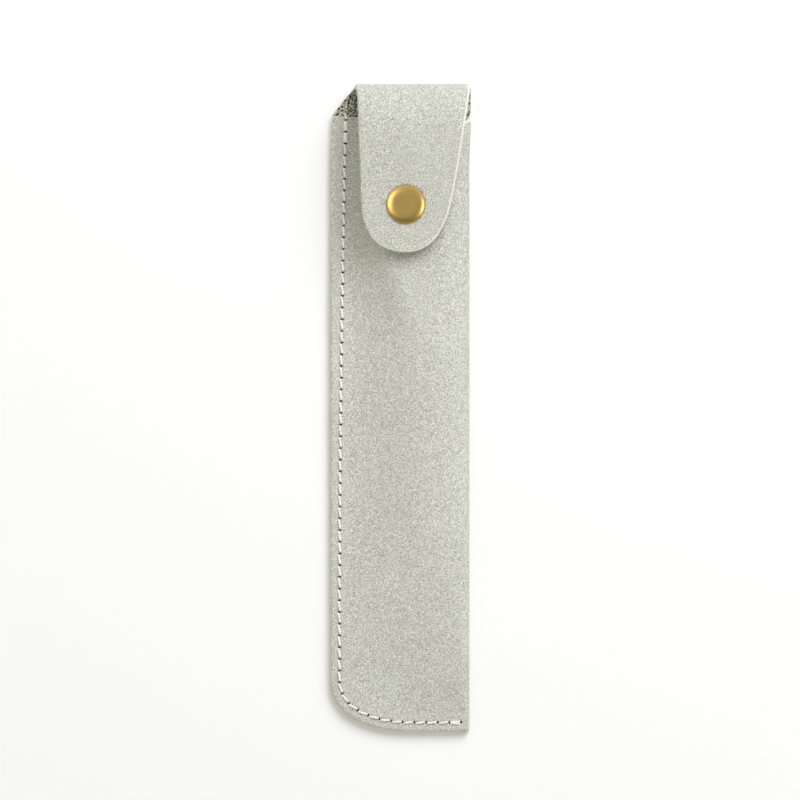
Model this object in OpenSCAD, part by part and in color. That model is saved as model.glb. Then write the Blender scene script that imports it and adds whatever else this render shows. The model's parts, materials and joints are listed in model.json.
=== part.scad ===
// Single pen sleeve: one leather blank folded along its right edge, lockstitched down the left side
// and along the closed end, with a flap that bends over the mouth and closes with a brass snap.
// It lies on its back. X runs across, Y from the closed end to the bend, Z up out of the front.
// Every shape is drawn with x from the left edge and y from the closed end, and moved at the end
// so that the origin is under the middle of the sleeve. Millimetres throughout.

/* [Sleeve] */
// Width of the folded sleeve
sleeve_w = 35.4; // [33:0.1:40]
// Length from the closed end to the crest of the bend
sleeve_l = 165; // [155:1:185]
// Inside height of the pocket at the mouth
pocket_h = 7.2; // [5.6:0.1:8.4]
// Length of the lower part over which the pocket opens to its full height
taper_l = 110; // [80:1:115]
// Width over which the front rises from the seam beside the snap, where it has to be level
rise_w = 10; // [8:0.1:11]
// Width of the level crown beside the fold, below the flap
crown_w = 1; // [0.5:0.1:2]
// Length over which the front changes from a long slope to the level seat of the snap
seat_run = 36; // [25:1:45]
// Distance from the crest of the bend to the mouth, at the seam
mouth_drop = 8; // [7.5:0.1:12]
// How much lower the mouth is at the fold than at the seam
mouth_slant = 1.8; // [0.5:0.1:2.5]
// Width of the rounded corner of the closed end
corner_w = 21.7; // [14:0.1:22]
// Height of the rounded corner of the closed end
corner_h = 13.3; // [10:0.1:18]
// Squareness of the rounded corner, where 2 is an ellipse
corner_power = 2.3; // [2:0.1:2.6]

/* [Leather] */
// Thickness of the leather skin
leather_t = 0.9; // [0.75:0.05:1.1]
// Thickness of the fibre backing
lining_t = 0.4; // [0.3:0.05:0.6]

/* [Stitching] */
// Distance from the cut edge to the stitch line
stitch_inset = 2.2; // [1.8:0.1:2.6]
// How much further in the stitch line lies at the mouth
stitch_drift = 1.7; // [0:0.1:2]
// Length of one stitch
stitch_l = 3; // [2.5:0.1:4]
// Diameter of the thread where it lies on the leather
thread_d = 0.5; // [0.4:0.05:0.55]
// Diameter of the thread where it is drawn tight through a needle hole
leg_d = 0.3; // [0.2:0.02:0.32]
// Diameter of a needle hole
needle_d = 0.7; // [0.68:0.02:0.9]

/* [Flap] */
// Length from the crest of the bend to the tip of the flap
flap_l = 43; // [40:0.5:50]
// Distance from the left edge to the flap's left edge at the crest
flap_side = 6.9; // [6:0.1:8]
// Half width of the flap beside the snap
flap_half_w = 11.4; // [10:0.1:12]
// Length of the rounded tip
tip_l = 12.5; // [11:0.1:14]

/* [Bend] */
// Outer radius of the lower half of the bend
bend_r = 5; // [4.5:0.1:6]
// Distance from the crest to where the flap is level
bend_run = 13; // [12:0.1:15]
// Clearance between the cut faces at each crease
crease_gap = 0.05; // [0.02:0.01:0.1]

/* [Snap] */
// Distance from the left edge to the snap's axis
snap_x = 19.2; // [18.6:0.1:20]
// Distance from the tip of the flap to the snap's axis
snap_inset = 12.3; // [11.5:0.1:14]
// Diameter of the cap
cap_d = 10; // [8.5:0.1:10.5]
// Height of the cap
cap_h = 1.3; // [1.1:0.1:1.6]
// Thickness of the cap's sheet
cap_t = 0.35; // [0.3:0.05:0.4]
// Outer diameter of the cap's post
post_d = 3; // [2.6:0.1:3.2]
// Wall of the tubular post and of the rivet
tube_t = 0.4; // [0.3:0.05:0.5]
// Outer diameter of the socket
socket_d = 8.6; // [8.4:0.1:9]
// Height of the socket
socket_h = 2.35; // [2.3:0.05:2.6]
// Thickness of the socket's sheet
socket_t = 0.4; // [0.3:0.05:0.45]
// Diameter of the stud's head
head_d = 4; // [3.8:0.05:4.1]
// Depth of the groove under the stud's head, on each side
head_lip = 0.25; // [0.2:0.05:0.3]
// Diameter of the stud's flange
stud_flange_d = 7.6; // [6.5:0.1:8]
// Thickness of the stud's flange
stud_flange_t = 0.35; // [0.3:0.05:0.45]
// Diameter of the rivet's flange inside the pocket
rivet_flange_d = 7; // [6:0.1:7.5]
// Diameter of the spring wire
wire_d = 0.45; // [0.35:0.05:0.45]

/* [Hidden] */
$fn = 48;

LEATHER = [0.78, 0.78, 0.74];
BACKING = [0.42, 0.42, 0.37];
THREAD = [0.95, 0.95, 0.91];
BRASS = [0.80, 0.62, 0.25];

// How far cutting shapes run past what they cut
past = 1;

// The sheet, and the section of the closed sleeve at the mouth
sheet_t = leather_t + lining_t;
front_z = 2*sheet_t + pocket_h;
fold_r = front_z/2;
fold_x = sleeve_w - fold_r;

// The seam, and the sections of the pocket above it
seam_w = stitch_inset + 0.9;
pocket_start = seam_w + 1.2;
pocket_power = 2.5;
slit_share = 0.15;
rise_steps = 7;
fold_steps = 8;
taper_steps = 13;
seat_steps = 6;

// The mouth, and the left edge's lean and chamfer above it
mouth_y = sleeve_l - mouth_drop;
mouth_low_y = mouth_y - mouth_slant;
lean_y = mouth_y - 12;
lean_x = 0.5;
chamfer_x = flap_side - 0.4;
uncurl_steps = 7;

// The bend in side view: a lower arc, an upper arc, and a long shallow arc down to the level flap
bend_y = sleeve_l - bend_r;
socket_gap = 0.1;
flap_in_z = front_z + stud_flange_t + socket_gap + socket_h;
flap_z = flap_in_z + sheet_t;
crease_a = 45;
long_a = 30;
reach = bend_run/sin(long_a);
upper_r = (flap_z - bend_r - (1 - cos(long_a))*reach)/(2*cos(long_a) - 1);
long_r = reach - upper_r;
lower_c = [bend_y, bend_r];
upper_c = [sleeve_l - upper_r, bend_r];
long_c = [sleeve_l - bend_run, flap_z - long_r];

// The flap's outline: its right edge tapers, and its right shoulder sits further out, as cut
tip_y = sleeve_l - flap_l;
flap_right = sleeve_w - 0.6;
corner_cut = 1.1;
left_shoulder = [snap_x - flap_half_w, tip_y + tip_l];
right_shoulder = [snap_x + flap_half_w + 0.5, tip_y + tip_l + 1.9];
edge_taper = 0.2;
tip = [snap_x + 0.1, tip_y];
outline_steps = 8;

// The stitching
drift_y = corner_h + 7;
first_y = mouth_y - 1.2;
last_x = sleeve_w - 2.1;
line_steps = 16;
leg_off = leg_d/2 + 0.02;
shoulder = 0.5;
dip = 0.04;
leg_top = 0.28;
front_stitch_z = 2*sheet_t;
back_stitch_z = thread_d/2 + 0.03;
lock_z = sheet_t;
lock_gap = 0.02;
groove_play = 0.13;
groove_w = thread_d + 0.08;

// The snap
snap_y = tip_y + snap_inset;
seat_y = snap_y - stud_flange_d/2 - 1;
fit = 0.05;
neck_r = head_d/2 - head_lip;
rivet_r = neck_r - 0.4 - fit;
post_r = post_d/2;
socket_z = flap_in_z - socket_h;
socket_lip = 0.3;
wire_z = socket_z + socket_lip + fit + wire_d/2;
head_z = wire_z + wire_d/2 + fit;
head_h = 0.55;
socket_mouth_r = head_d/2 + 0.4;
chamber_r = socket_d/2 - socket_t;
flare_t = 0.25;
flare_w = 0.6;
flange_t = 0.35;
edge = 0.15;
cap_z = flap_z + cap_h;
cap_r = cap_d/2;
cap_lip = 0.6;
dome_steps = 10;
head_t = 0.3;
wire_x = neck_r + wire_d/2 + 0.02;
wire_y = chamber_r - wire_x - wire_d/2 - fit;
wire_end = -2.2;

// A smooth step from 0 to 1
function ease(t) = t*t*(3 - 2*t);

// A value kept between two limits
function held(t, low, high) = max(low, min(high, t));

// Points along a curve from a to d that leaves towards b and arrives from c
function curve(a, b, c, d, n) = [for (i = [0:n]) let (t = i/n, s = 1 - t)
    s*s*s*a + 3*s*s*t*b + 3*s*t*t*c + t*t*t*d];

// The rounded corner at a distance inside the cut edge, from the side to the closed end
function corner(inset, n) = [for (i = [0:n]) let (a = 90*i/n)
    [corner_w - (corner_w - inset)*pow(cos(a), 2/corner_power),
     corner_h - (corner_h - inset)*pow(sin(a), 2/corner_power)]];

// How much further in the stitch line has drifted at y
function drift(y) = stitch_drift*pow(held((y - drift_y)/(mouth_y - drift_y), 0, 1.1), 2);

// How far in from the left edge the pocket starts at y
function seam_x(y) =
    let (t = held((corner_h - y)/(corner_h - seam_w), 0, 1))
    corner_w - (corner_w - seam_w)*pow(1 - pow(t, corner_power), 1/corner_power) + drift(y);

// Inside height of the pocket at y
function room(y) =
    pocket_h*(1 - pow(1 - held((y - seam_w)/(taper_l - seam_w), 0, 1), pocket_power));

// Width of the rise at y: short beside the snap, and the whole way to the fold's crown below it
function rise(y) =
    let (long = sleeve_w - sheet_t - room(y) - crown_w - seam_x(y),
         t = ease(held((y - seat_y + seat_run)/seat_run, 0, 1)))
    long + (rise_w - long)*t;

// A point at depth d under the front, at a share s of its rise from the seam
function rise_point(y, s, d) =
    let (h = room(y), w = rise(y), slope = 6*h*s*(1 - s)/w, k = d/sqrt(1 + slope*slope))
    [seam_x(y) + s*w + slope*k, y, 2*sheet_t + h*ease(s) - k];

// A point at depth d in the fold's upper quarter, which leans in by as much as the pocket is high
function upper_point(y, a, d) =
    let (w = sheet_t + room(y), t = sheet_t + room(y)/2,
         nx = sin(a)/w, nz = cos(a)/t, k = d/sqrt(nx*nx + nz*nz))
    [sleeve_w - w + w*sin(a) - nx*k, y, t + t*cos(a) - nz*k];

// A point at depth d in the fold's lower quarter, a true arc down to the flat back
function lower_point(y, a, d) =
    let (r = sheet_t + room(y)/2)
    [sleeve_w - r + (r - d)*cos(a), y, r - (r - d)*sin(a)];

// The section at y of what lies deeper than d: along the top, round the fold and back underneath
function section(y, d, first, left) =
    let (top = concat(
             left,
             [for (i = [0:rise_steps]) rise_point(y, first + (1 - first)*i/rise_steps, d)],
             [for (i = [0:fold_steps]) upper_point(y, 90*i/fold_steps, d)]))
    concat(
        top,
        [for (i = [1:fold_steps]) lower_point(y, 90*i/fold_steps, d)],
        [for (i = [len(top) - fold_steps - 2:-1:0]) [top[i][0], y, d]]);

// Where along the length the sections lie
pocket_ys = concat(
    [for (i = [0:taper_steps]) pocket_start + (seat_y - seat_run - pocket_start)*pow(i/taper_steps, 1.7)],
    [for (i = [1:seat_steps]) seat_y - seat_run*(1 - i/seat_steps)],
    [mouth_y + past]);
sleeve_ys = concat([-past, seam_w], pocket_ys);

// How far the edge of the back is still curled up at y, above the mouth
function curl(y) = 90*(1 - ease((y - mouth_low_y)/(bend_y - mouth_low_y)));

// A point at depth d and share t of that curl, whose tip stays at the sleeve's right side
function curl_point(y, t, d) =
    let (a = curl(y), r = a > 0.1 ? fold_r/sin(a) : 0)
    a > 0.1 ? [fold_x + (r - d)*sin(a*t), y, r - (r - d)*cos(a*t)] : [fold_x + fold_r*t, y, d];

// The stitch line's own points, then points spaced evenly along it
line = concat(
    [for (i = [0:line_steps - 1]) let (y = first_y + (corner_h - first_y)*i/line_steps)
        [stitch_inset + drift(y), y]],
    corner(stitch_inset, line_steps),
    [[last_x, stitch_inset]]);
function run(points, i) = i == 0 ? 0 : run(points, i - 1) + norm(points[i] - points[i - 1]);
runs = [for (i = [0:len(line) - 1]) run(line, i)];
stitches = round(runs[len(line) - 1]/stitch_l);
function needle_point(k) =
    let (s = runs[len(line) - 1]*k/stitches)
    [lookup(s, [for (i = [0:len(line) - 1]) [runs[i], line[i][0]]]),
     lookup(s, [for (i = [0:len(line) - 1]) [runs[i], line[i][1]]])];
needles = [for (k = [0:stitches]) needle_point(k)];

// Turns and places every piece in the part's own frame
module placed() {
    translate([-sleeve_w/2, -sleeve_l/2, 0])
        children();
}

// A solid through a list of sections, each two chains of points that pair up across it
module loft(rings) {
    m = len(rings[0]);
    last = (len(rings) - 1)*m;
    sides = [for (k = [0:m:last - m], i = [0:m - 1]) let (j = (i + 1)%m)
        each [[k + i, k + m + i, k + j], [k + j, k + m + i, k + m + j]]];
    cap = [for (i = [0:floor((m - 1)/2) - 1]) let (b = i + 1, c = m - 2 - i, d = m - 1 - i)
        each [[i, b, d], if (b != c) [b, c, d]]];
    far_cap = [for (f = cap) [last + f[2], last + f[1], last + f[0]]];
    polyhedron(points = [for (ring = rings) each ring], faces = concat(sides, cap, far_cap));
}

// The plan of the sleeve and the lower half of the bend, run past the fold and the crest
module sleeve_plan() {
    lean = [lean_x, mouth_y + 0.2];
    chamfer = [chamfer_x, sleeve_l];
    right_cut = [flap_right, sleeve_l];
    slope = [sleeve_w - flap_right, -corner_cut];
    polygon(concat(
        [chamfer + (chamfer - lean)/mouth_drop*past, lean, [0, lean_y]],
        corner(0, 3*outline_steps),
        [[sleeve_w + past, 0],
         right_cut + 3*slope,
         right_cut - slope]));
}

// The plan of the flap and the upper half of the bend, run past the crest
module flap_plan() {
    side_dir = [edge_taper, 1];
    polygon(concat(
        [[flap_side, sleeve_l + past]],
        curve(left_shoulder, left_shoulder + [0.2, -0.58*tip_l],
              tip - [0.67*flap_half_w, 0], tip, outline_steps),
        curve(tip, tip + [0.66*flap_half_w, 0],
              right_shoulder - 0.53*tip_l*side_dir, right_shoulder, outline_steps),
        curve(right_shoulder, right_shoulder + 9.8*side_dir,
              [flap_right - 0.7, sleeve_l - 9], [flap_right, sleeve_l], outline_steps),
        [[flap_right, sleeve_l + past]]));
}

module upright(h) {
    translate([0, 0, -past])
        linear_extrude(h + 2*past)
            children();
}

// Extrudes a side view, drawn as y and z, across the whole width
module across() {
    translate([-past, 0, 0])
        rotate([90, 0, 90])
            linear_extrude(sleeve_w + past)
                children();
}

// The side view of the sheet between two depths, round a centre from one heading to another
module arc(c, r, d0, d1, a0, a1) {
    translate(c)
        intersection() {
            difference() {
                circle(r - d0);
                circle(r - d1);
            }
            polygon(concat([[0, 0]],
                [for (i = [0:2]) let (a = a0 + (a1 - a0)*i/2) 2*r*[sin(a), -cos(a)]]));
        }
}

// What is cut away above the mouth: the whole fold and back first, then the front along its slant
module mouth_cut() {
    translate([0, mouth_y + 2*past, 0])
        rotate([90, 0, 0])
            linear_extrude(mouth_slant + 2*past)
                polygon([[-2*past, -past], [sleeve_w + past, -past], [sleeve_w + past, front_z + past],
                         [fold_x, front_z + past], [fold_x, sheet_t], [-2*past, sheet_t]]);
    translate([0, 0, sheet_t])
        linear_extrude(front_z)
            polygon([[-2*past, mouth_y + 2*past*mouth_slant/fold_x], [fold_x, mouth_low_y],
                     [sleeve_w + past, mouth_low_y], [sleeve_w + past, mouth_y + 3*past],
                     [-2*past, mouth_y + 3*past]]);
}

// The back above the mouth, where the fold uncurls until the sheet is flat at the bend
module back_tab(d0, d1) {
    loft([for (i = [0:uncurl_steps])
        let (y = mouth_low_y + (bend_y - mouth_low_y)*i/uncurl_steps)
        concat(
            [[-past, y, d1]], [for (j = [0:fold_steps]) curl_point(y, j/fold_steps, d1)],
            [for (j = [fold_steps:-1:0]) curl_point(y, j/fold_steps, d0)], [[-past, y, d0]])]);
}

// Every needle hole, right through the folded sheet
module needle_holes() {
    for (p = needles)
        translate([p[0], p[1], -past])
            cylinder(d = needle_d, h = 2*sheet_t + 2*past, $fn = 16);
}

function side_step(k) =
    let (a = needles[max(k - 1, 0)], b = needles[min(k + 1, stitches)], t = (b - a)/norm(b - a))
    groove_w/2*[t[1], -t[0]];

// A groove along the stitch line, pressed in by the thread between two heights
module groove(z0, z1) {
    translate([0, 0, z0])
        linear_extrude(z1 - z0)
            polygon(concat(
                [for (k = [0:stitches]) needles[k] + side_step(k)],
                [for (k = [stitches:-1:0]) needles[k] - side_step(k)]));
}

// One layer of the blank from the closed end to the first crease
module wrap_layer(d0, d1) {
    difference() {
        union() {
            difference() {
                intersection() {
                    loft([for (y = sleeve_ys) section(y, d0, 0, [[-past, y, 2*sheet_t - d0]])]);
                    upright(front_z)
                        sleeve_plan();
                }
                children();
                mouth_cut();
            }
            intersection() {
                union() {
                    back_tab(d0, d1);
                    across()
                        arc(lower_c, bend_r, d0, d1, 0, crease_a);
                }
                upright(front_z)
                    sleeve_plan();
            }
        }
        needle_holes();
        translate([snap_x, snap_y, sheet_t])
            cylinder(r = rivet_r + fit, h = front_z);
    }
}

module wrap_leather() {
    color(LEATHER)
        difference() {
            wrap_layer(0, leather_t)
                loft([for (y = sleeve_ys)
                    section(y, leather_t, 0, [[-past, y, 2*sheet_t - leather_t]])]);
            groove(-past, back_stitch_z + dip + thread_d/2 + groove_play);
            groove(front_stitch_z - dip - thread_d/2 - groove_play, 2*sheet_t + past);
        }
}

module wrap_lining() {
    color(BACKING)
        wrap_layer(leather_t, sheet_t)
            loft([for (y = pocket_ys) section(y, sheet_t, slit_share, [])]);
}

// The path of one stitch as x, y, z, radius and heading: up its first needle hole and down its last
function stitch_path(a, b, z, up) =
    let (d = (b - a)/norm(b - a), h = atan2(d[1], d[0]), lock = lock_z + up*(leg_d + lock_gap)/2,
         in = a + leg_off*d, out = b - leg_off*d, s0 = a + shoulder*d, s1 = b - shoulder*d)
    [[in[0], in[1], lock, leg_d/2, h], [in[0], in[1], z - up*leg_top, leg_d/2, h],
     [s0[0], s0[1], z - up*dip, thread_d/2, h], [s1[0], s1[1], z - up*dip, thread_d/2, h],
     [out[0], out[1], z - up*leg_top, leg_d/2, h], [out[0], out[1], lock, leg_d/2, h]];

function point(p) = [p[0], p[1], p[2]];
function unit(v) = v/norm(v);

// The ring of a thread at step i of its path, mitred where the path turns
function thread_ring(path, i) =
    let (here = point(path[i]), n = len(path) - 1,
         before = i == 0 ? point(path[1]) - here : here - point(path[i - 1]),
         after = i == n ? before : point(path[i + 1]) - here,
         t = unit(unit(before) + unit(after)), mitre = 1/max(0.5, t*unit(after)),
         side = [-sin(path[i][4]), cos(path[i][4]), 0], r = path[i][3])
    [for (a = [0:60:300]) here + r*(cos(a)*side + mitre*sin(a)*cross(t, side))];

// A thread of the lockstitch, whose stitches lie at height z on the side that up points to
module thread(z, up) {
    path = [for (k = [0:stitches - 1]) each stitch_path(needles[k], needles[k + 1], z, up)];
    rings = [for (i = [0:len(path) - 1]) thread_ring(path, i)];
    color(THREAD)
        loft(up > 0 ? rings : [for (ring = rings) [for (i = [5:-1:0]) ring[i]]]);
}

module needle_thread() {
    thread(front_stitch_z, 1);
}

module bobbin_thread() {
    thread(back_stitch_z, -1);
}

// One layer of the strip that bends, from the first crease over the crest to the second
module bend_layer(d0, d1) {
    gap_a = crease_gap/bend_r*180/PI;
    intersection() {
        across()
            arc(lower_c, bend_r, d0, d1, crease_a + gap_a, 90);
        upright(flap_z)
            sleeve_plan();
    }
    intersection() {
        across()
            arc(upper_c, upper_r, d0, d1, 90, 180 - long_a);
        upright(flap_z)
            flap_plan();
    }
}

// One layer of the flap from the second crease to the tip, with the post's hole
module flap_layer(d0, d1) {
    gap_a = crease_gap/long_r*180/PI;
    difference() {
        intersection() {
            across() {
                arc(long_c, long_r, d0, d1, 180 - long_a + gap_a, 180);
                translate([tip_y - past, flap_z - d1])
                    square([long_c[0] - tip_y + past, d1 - d0]);
            }
            upright(flap_z)
                flap_plan();
        }
        translate([snap_x, snap_y, flap_in_z - past])
            cylinder(r = post_r + fit, h = sheet_t + 2*past);
    }
}

module bend_leather() {
    color(LEATHER)
        bend_layer(0, leather_t);
}

module bend_lining() {
    color(BACKING)
        bend_layer(leather_t, sheet_t);
}

module flap_leather() {
    color(LEATHER)
        flap_layer(0, leather_t);
}

module flap_lining() {
    color(BACKING)
        flap_layer(leather_t, sheet_t);
}

// A turned piece on the snap's axis, from a profile of radius and height
module turned(profile) {
    color(BRASS)
        translate([snap_x, snap_y, 0])
            rotate_extrude()
                polygon(profile);
}

module snap_stud() {
    top = head_z + head_h;
    bore_r = rivet_r + fit;
    turned([[bore_r, front_z], [stud_flange_d/2, front_z],
            [stud_flange_d/2, front_z + stud_flange_t - edge],
            [stud_flange_d/2 - edge, front_z + stud_flange_t], [neck_r, front_z + stud_flange_t],
            [neck_r, head_z], [head_d/2, head_z + edge], [head_d/2, top - edge],
            [head_d/2 - edge, top], [0, top], [0, top - head_t], [bore_r, top - head_t]]);
}

module stud_rivet() {
    inner_z = sheet_t + pocket_h;
    low_z = inner_z - flange_t;
    top = head_z + head_h - head_t - fit;
    turned([[rivet_r - tube_t, low_z], [rivet_flange_d/2 - edge, low_z],
            [rivet_flange_d/2, low_z + edge], [rivet_flange_d/2, inner_z], [rivet_r, inner_z],
            [rivet_r, top], [rivet_r - tube_t, top]]);
}

module snap_cap() {
    low_z = flap_z + flange_t;
    inner_r = cap_r - cap_t;
    seat_z = low_z + cap_t;
    turned(concat(
        curve([0, cap_z], [0.75*cap_r, cap_z], [cap_r, cap_z - 0.2*cap_h], [cap_r, low_z], dome_steps),
        [[cap_r, flap_z + edge], [cap_r - edge, flap_z], [inner_r - cap_lip, flap_z],
         [inner_r - cap_lip, low_z], [inner_r, low_z]],
        curve([inner_r, seat_z + fit], [inner_r, cap_z - cap_t - 0.2*cap_h],
              [0.75*inner_r, cap_z - cap_t], [0, cap_z - cap_t], dome_steps)));
}

module cap_post() {
    seat_z = flap_z + flange_t;
    clinch_z = flap_in_z - socket_t;
    inner_r = post_r - tube_t;
    turned([[0, seat_z], [0, seat_z + flange_t], [cap_r - cap_t - fit, seat_z + flange_t],
            [cap_r - cap_t - fit, seat_z], [post_r + edge, seat_z], [post_r, seat_z - edge],
            [post_r, clinch_z], [post_r + flare_w, clinch_z], [post_r + flare_w, clinch_z - flare_t],
            [inner_r, clinch_z - flare_t], [inner_r, seat_z - edge], [0, seat_z - edge]]);
}

module snap_socket() {
    r = socket_d/2;
    plate_z = flap_in_z - socket_t;
    turned([[post_r + fit, flap_in_z], [r - 2*edge, flap_in_z], [r, flap_in_z - 2*edge],
            [r, socket_z + edge], [r - edge, socket_z], [socket_mouth_r + edge, socket_z],
            [socket_mouth_r, socket_z + edge], [socket_mouth_r, socket_z + socket_lip],
            [chamber_r, socket_z + socket_lip], [chamber_r, plate_z], [post_r + fit, plate_z]]);
}

// A hairpin of wire whose two straight bars grip the stud under its head
module socket_spring() {
    color(BRASS)
        translate([snap_x, snap_y, wire_z]) {
            translate([0, wire_y, 0])
                rotate_extrude(angle = 180)
                    translate([wire_x, 0])
                        circle(d = wire_d, $fn = 16);
            for (side = [-1, 1])
                translate([side*wire_x, wire_y, 0])
                    rotate([90, 0, 0])
                        cylinder(d = wire_d, h = wire_y - wire_end, $fn = 16);
        }
}

placed() wrap_leather();
placed() wrap_lining();
placed() needle_thread();
placed() bobbin_thread();
placed() snap_stud();
placed() stud_rivet();
placed() bend_leather();
placed() bend_lining();
placed() flap_leather();
placed() flap_lining();
placed() snap_cap();
placed() cap_post();
placed() snap_socket();
placed() socket_spring();
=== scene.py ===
"""A single pen sleeve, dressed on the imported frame: grey leather, white lockstitch, a brass snap.

The sleeve lies on its back. X runs across towards the folded edge, Y along the length towards the
mouth, and Z up out of the front. Plan sizes are kept as on the pattern, from the left edge and from
the closed end, and moved to the frame when a mesh is made. Everything is in metres.
"""

import json
import logging
import math
from dataclasses import dataclass, field
from enum import Enum

import bmesh
import bpy
import numpy as np
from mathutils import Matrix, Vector

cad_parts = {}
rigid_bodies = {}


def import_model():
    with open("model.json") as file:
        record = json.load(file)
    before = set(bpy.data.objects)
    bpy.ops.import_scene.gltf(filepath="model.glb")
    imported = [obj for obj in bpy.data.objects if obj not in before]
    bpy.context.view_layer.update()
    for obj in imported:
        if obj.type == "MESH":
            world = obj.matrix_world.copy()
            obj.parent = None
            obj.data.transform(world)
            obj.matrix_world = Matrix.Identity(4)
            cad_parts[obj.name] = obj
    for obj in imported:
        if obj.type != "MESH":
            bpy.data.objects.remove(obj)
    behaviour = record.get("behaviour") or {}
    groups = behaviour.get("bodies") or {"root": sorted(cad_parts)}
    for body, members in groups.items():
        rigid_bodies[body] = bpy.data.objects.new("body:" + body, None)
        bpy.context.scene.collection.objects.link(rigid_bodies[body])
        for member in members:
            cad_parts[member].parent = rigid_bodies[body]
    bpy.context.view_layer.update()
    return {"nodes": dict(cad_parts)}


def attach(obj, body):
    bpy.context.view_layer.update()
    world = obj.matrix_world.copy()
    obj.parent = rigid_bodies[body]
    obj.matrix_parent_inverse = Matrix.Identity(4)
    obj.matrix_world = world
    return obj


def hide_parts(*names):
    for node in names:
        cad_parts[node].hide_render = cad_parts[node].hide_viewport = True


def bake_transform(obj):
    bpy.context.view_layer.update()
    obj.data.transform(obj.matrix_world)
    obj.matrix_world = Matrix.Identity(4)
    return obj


log = logging.getLogger("pen_sleeve")

MM = 0.001
Array = np.ndarray
Colour = tuple[float, float, float, float]
Material = bpy.types.Material
Node = bpy.types.Node
Object = bpy.types.Object
Socket = bpy.types.NodeSocket
Tree = bpy.types.ShaderNodeTree


class Body(str, Enum):
    """The rigid bodies that the pieces ride on."""

    SLEEVE = "sleeve"
    BEND = "flap_bend"
    FLAP = "flap"


class Slot(str, Enum):
    """The record's material slots."""

    LEATHER = "leather"
    BACKING = "backing"
    THREAD = "thread"
    BRASS = "brass"


class Face(Enum):
    """Which face of the folded sleeve a thread lies on."""

    FRONT = 1
    BACK = -1


def ease(t: Array) -> Array:
    """A smooth step from 0 to 1, level at both ends."""
    t = np.clip(t, 0.0, 1.0)
    return t * t * (3 - 2 * t)


def bump(distance: Array, width: float) -> Array:
    """A rounded hump of height 1 that has faded at a distance of twice its width."""
    return np.exp(-((distance / width) ** 2))


def bezier(a: Array, b: Array, c: Array, d: Array, count: int) -> Array:
    """Points along a cubic curve.

    Args:
        a: The first point.
        b: The point that the curve leaves towards.
        c: The point that the curve arrives from.
        d: The last point.
        count: How many points to make, with both ends.

    Returns:
        An array of points, one a row.
    """
    t = np.linspace(0, 1, count)[:, None]
    s = 1 - t
    return s**3 * a + 3 * s * s * t * b + 3 * s * t * t * c + t**3 * d


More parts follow.
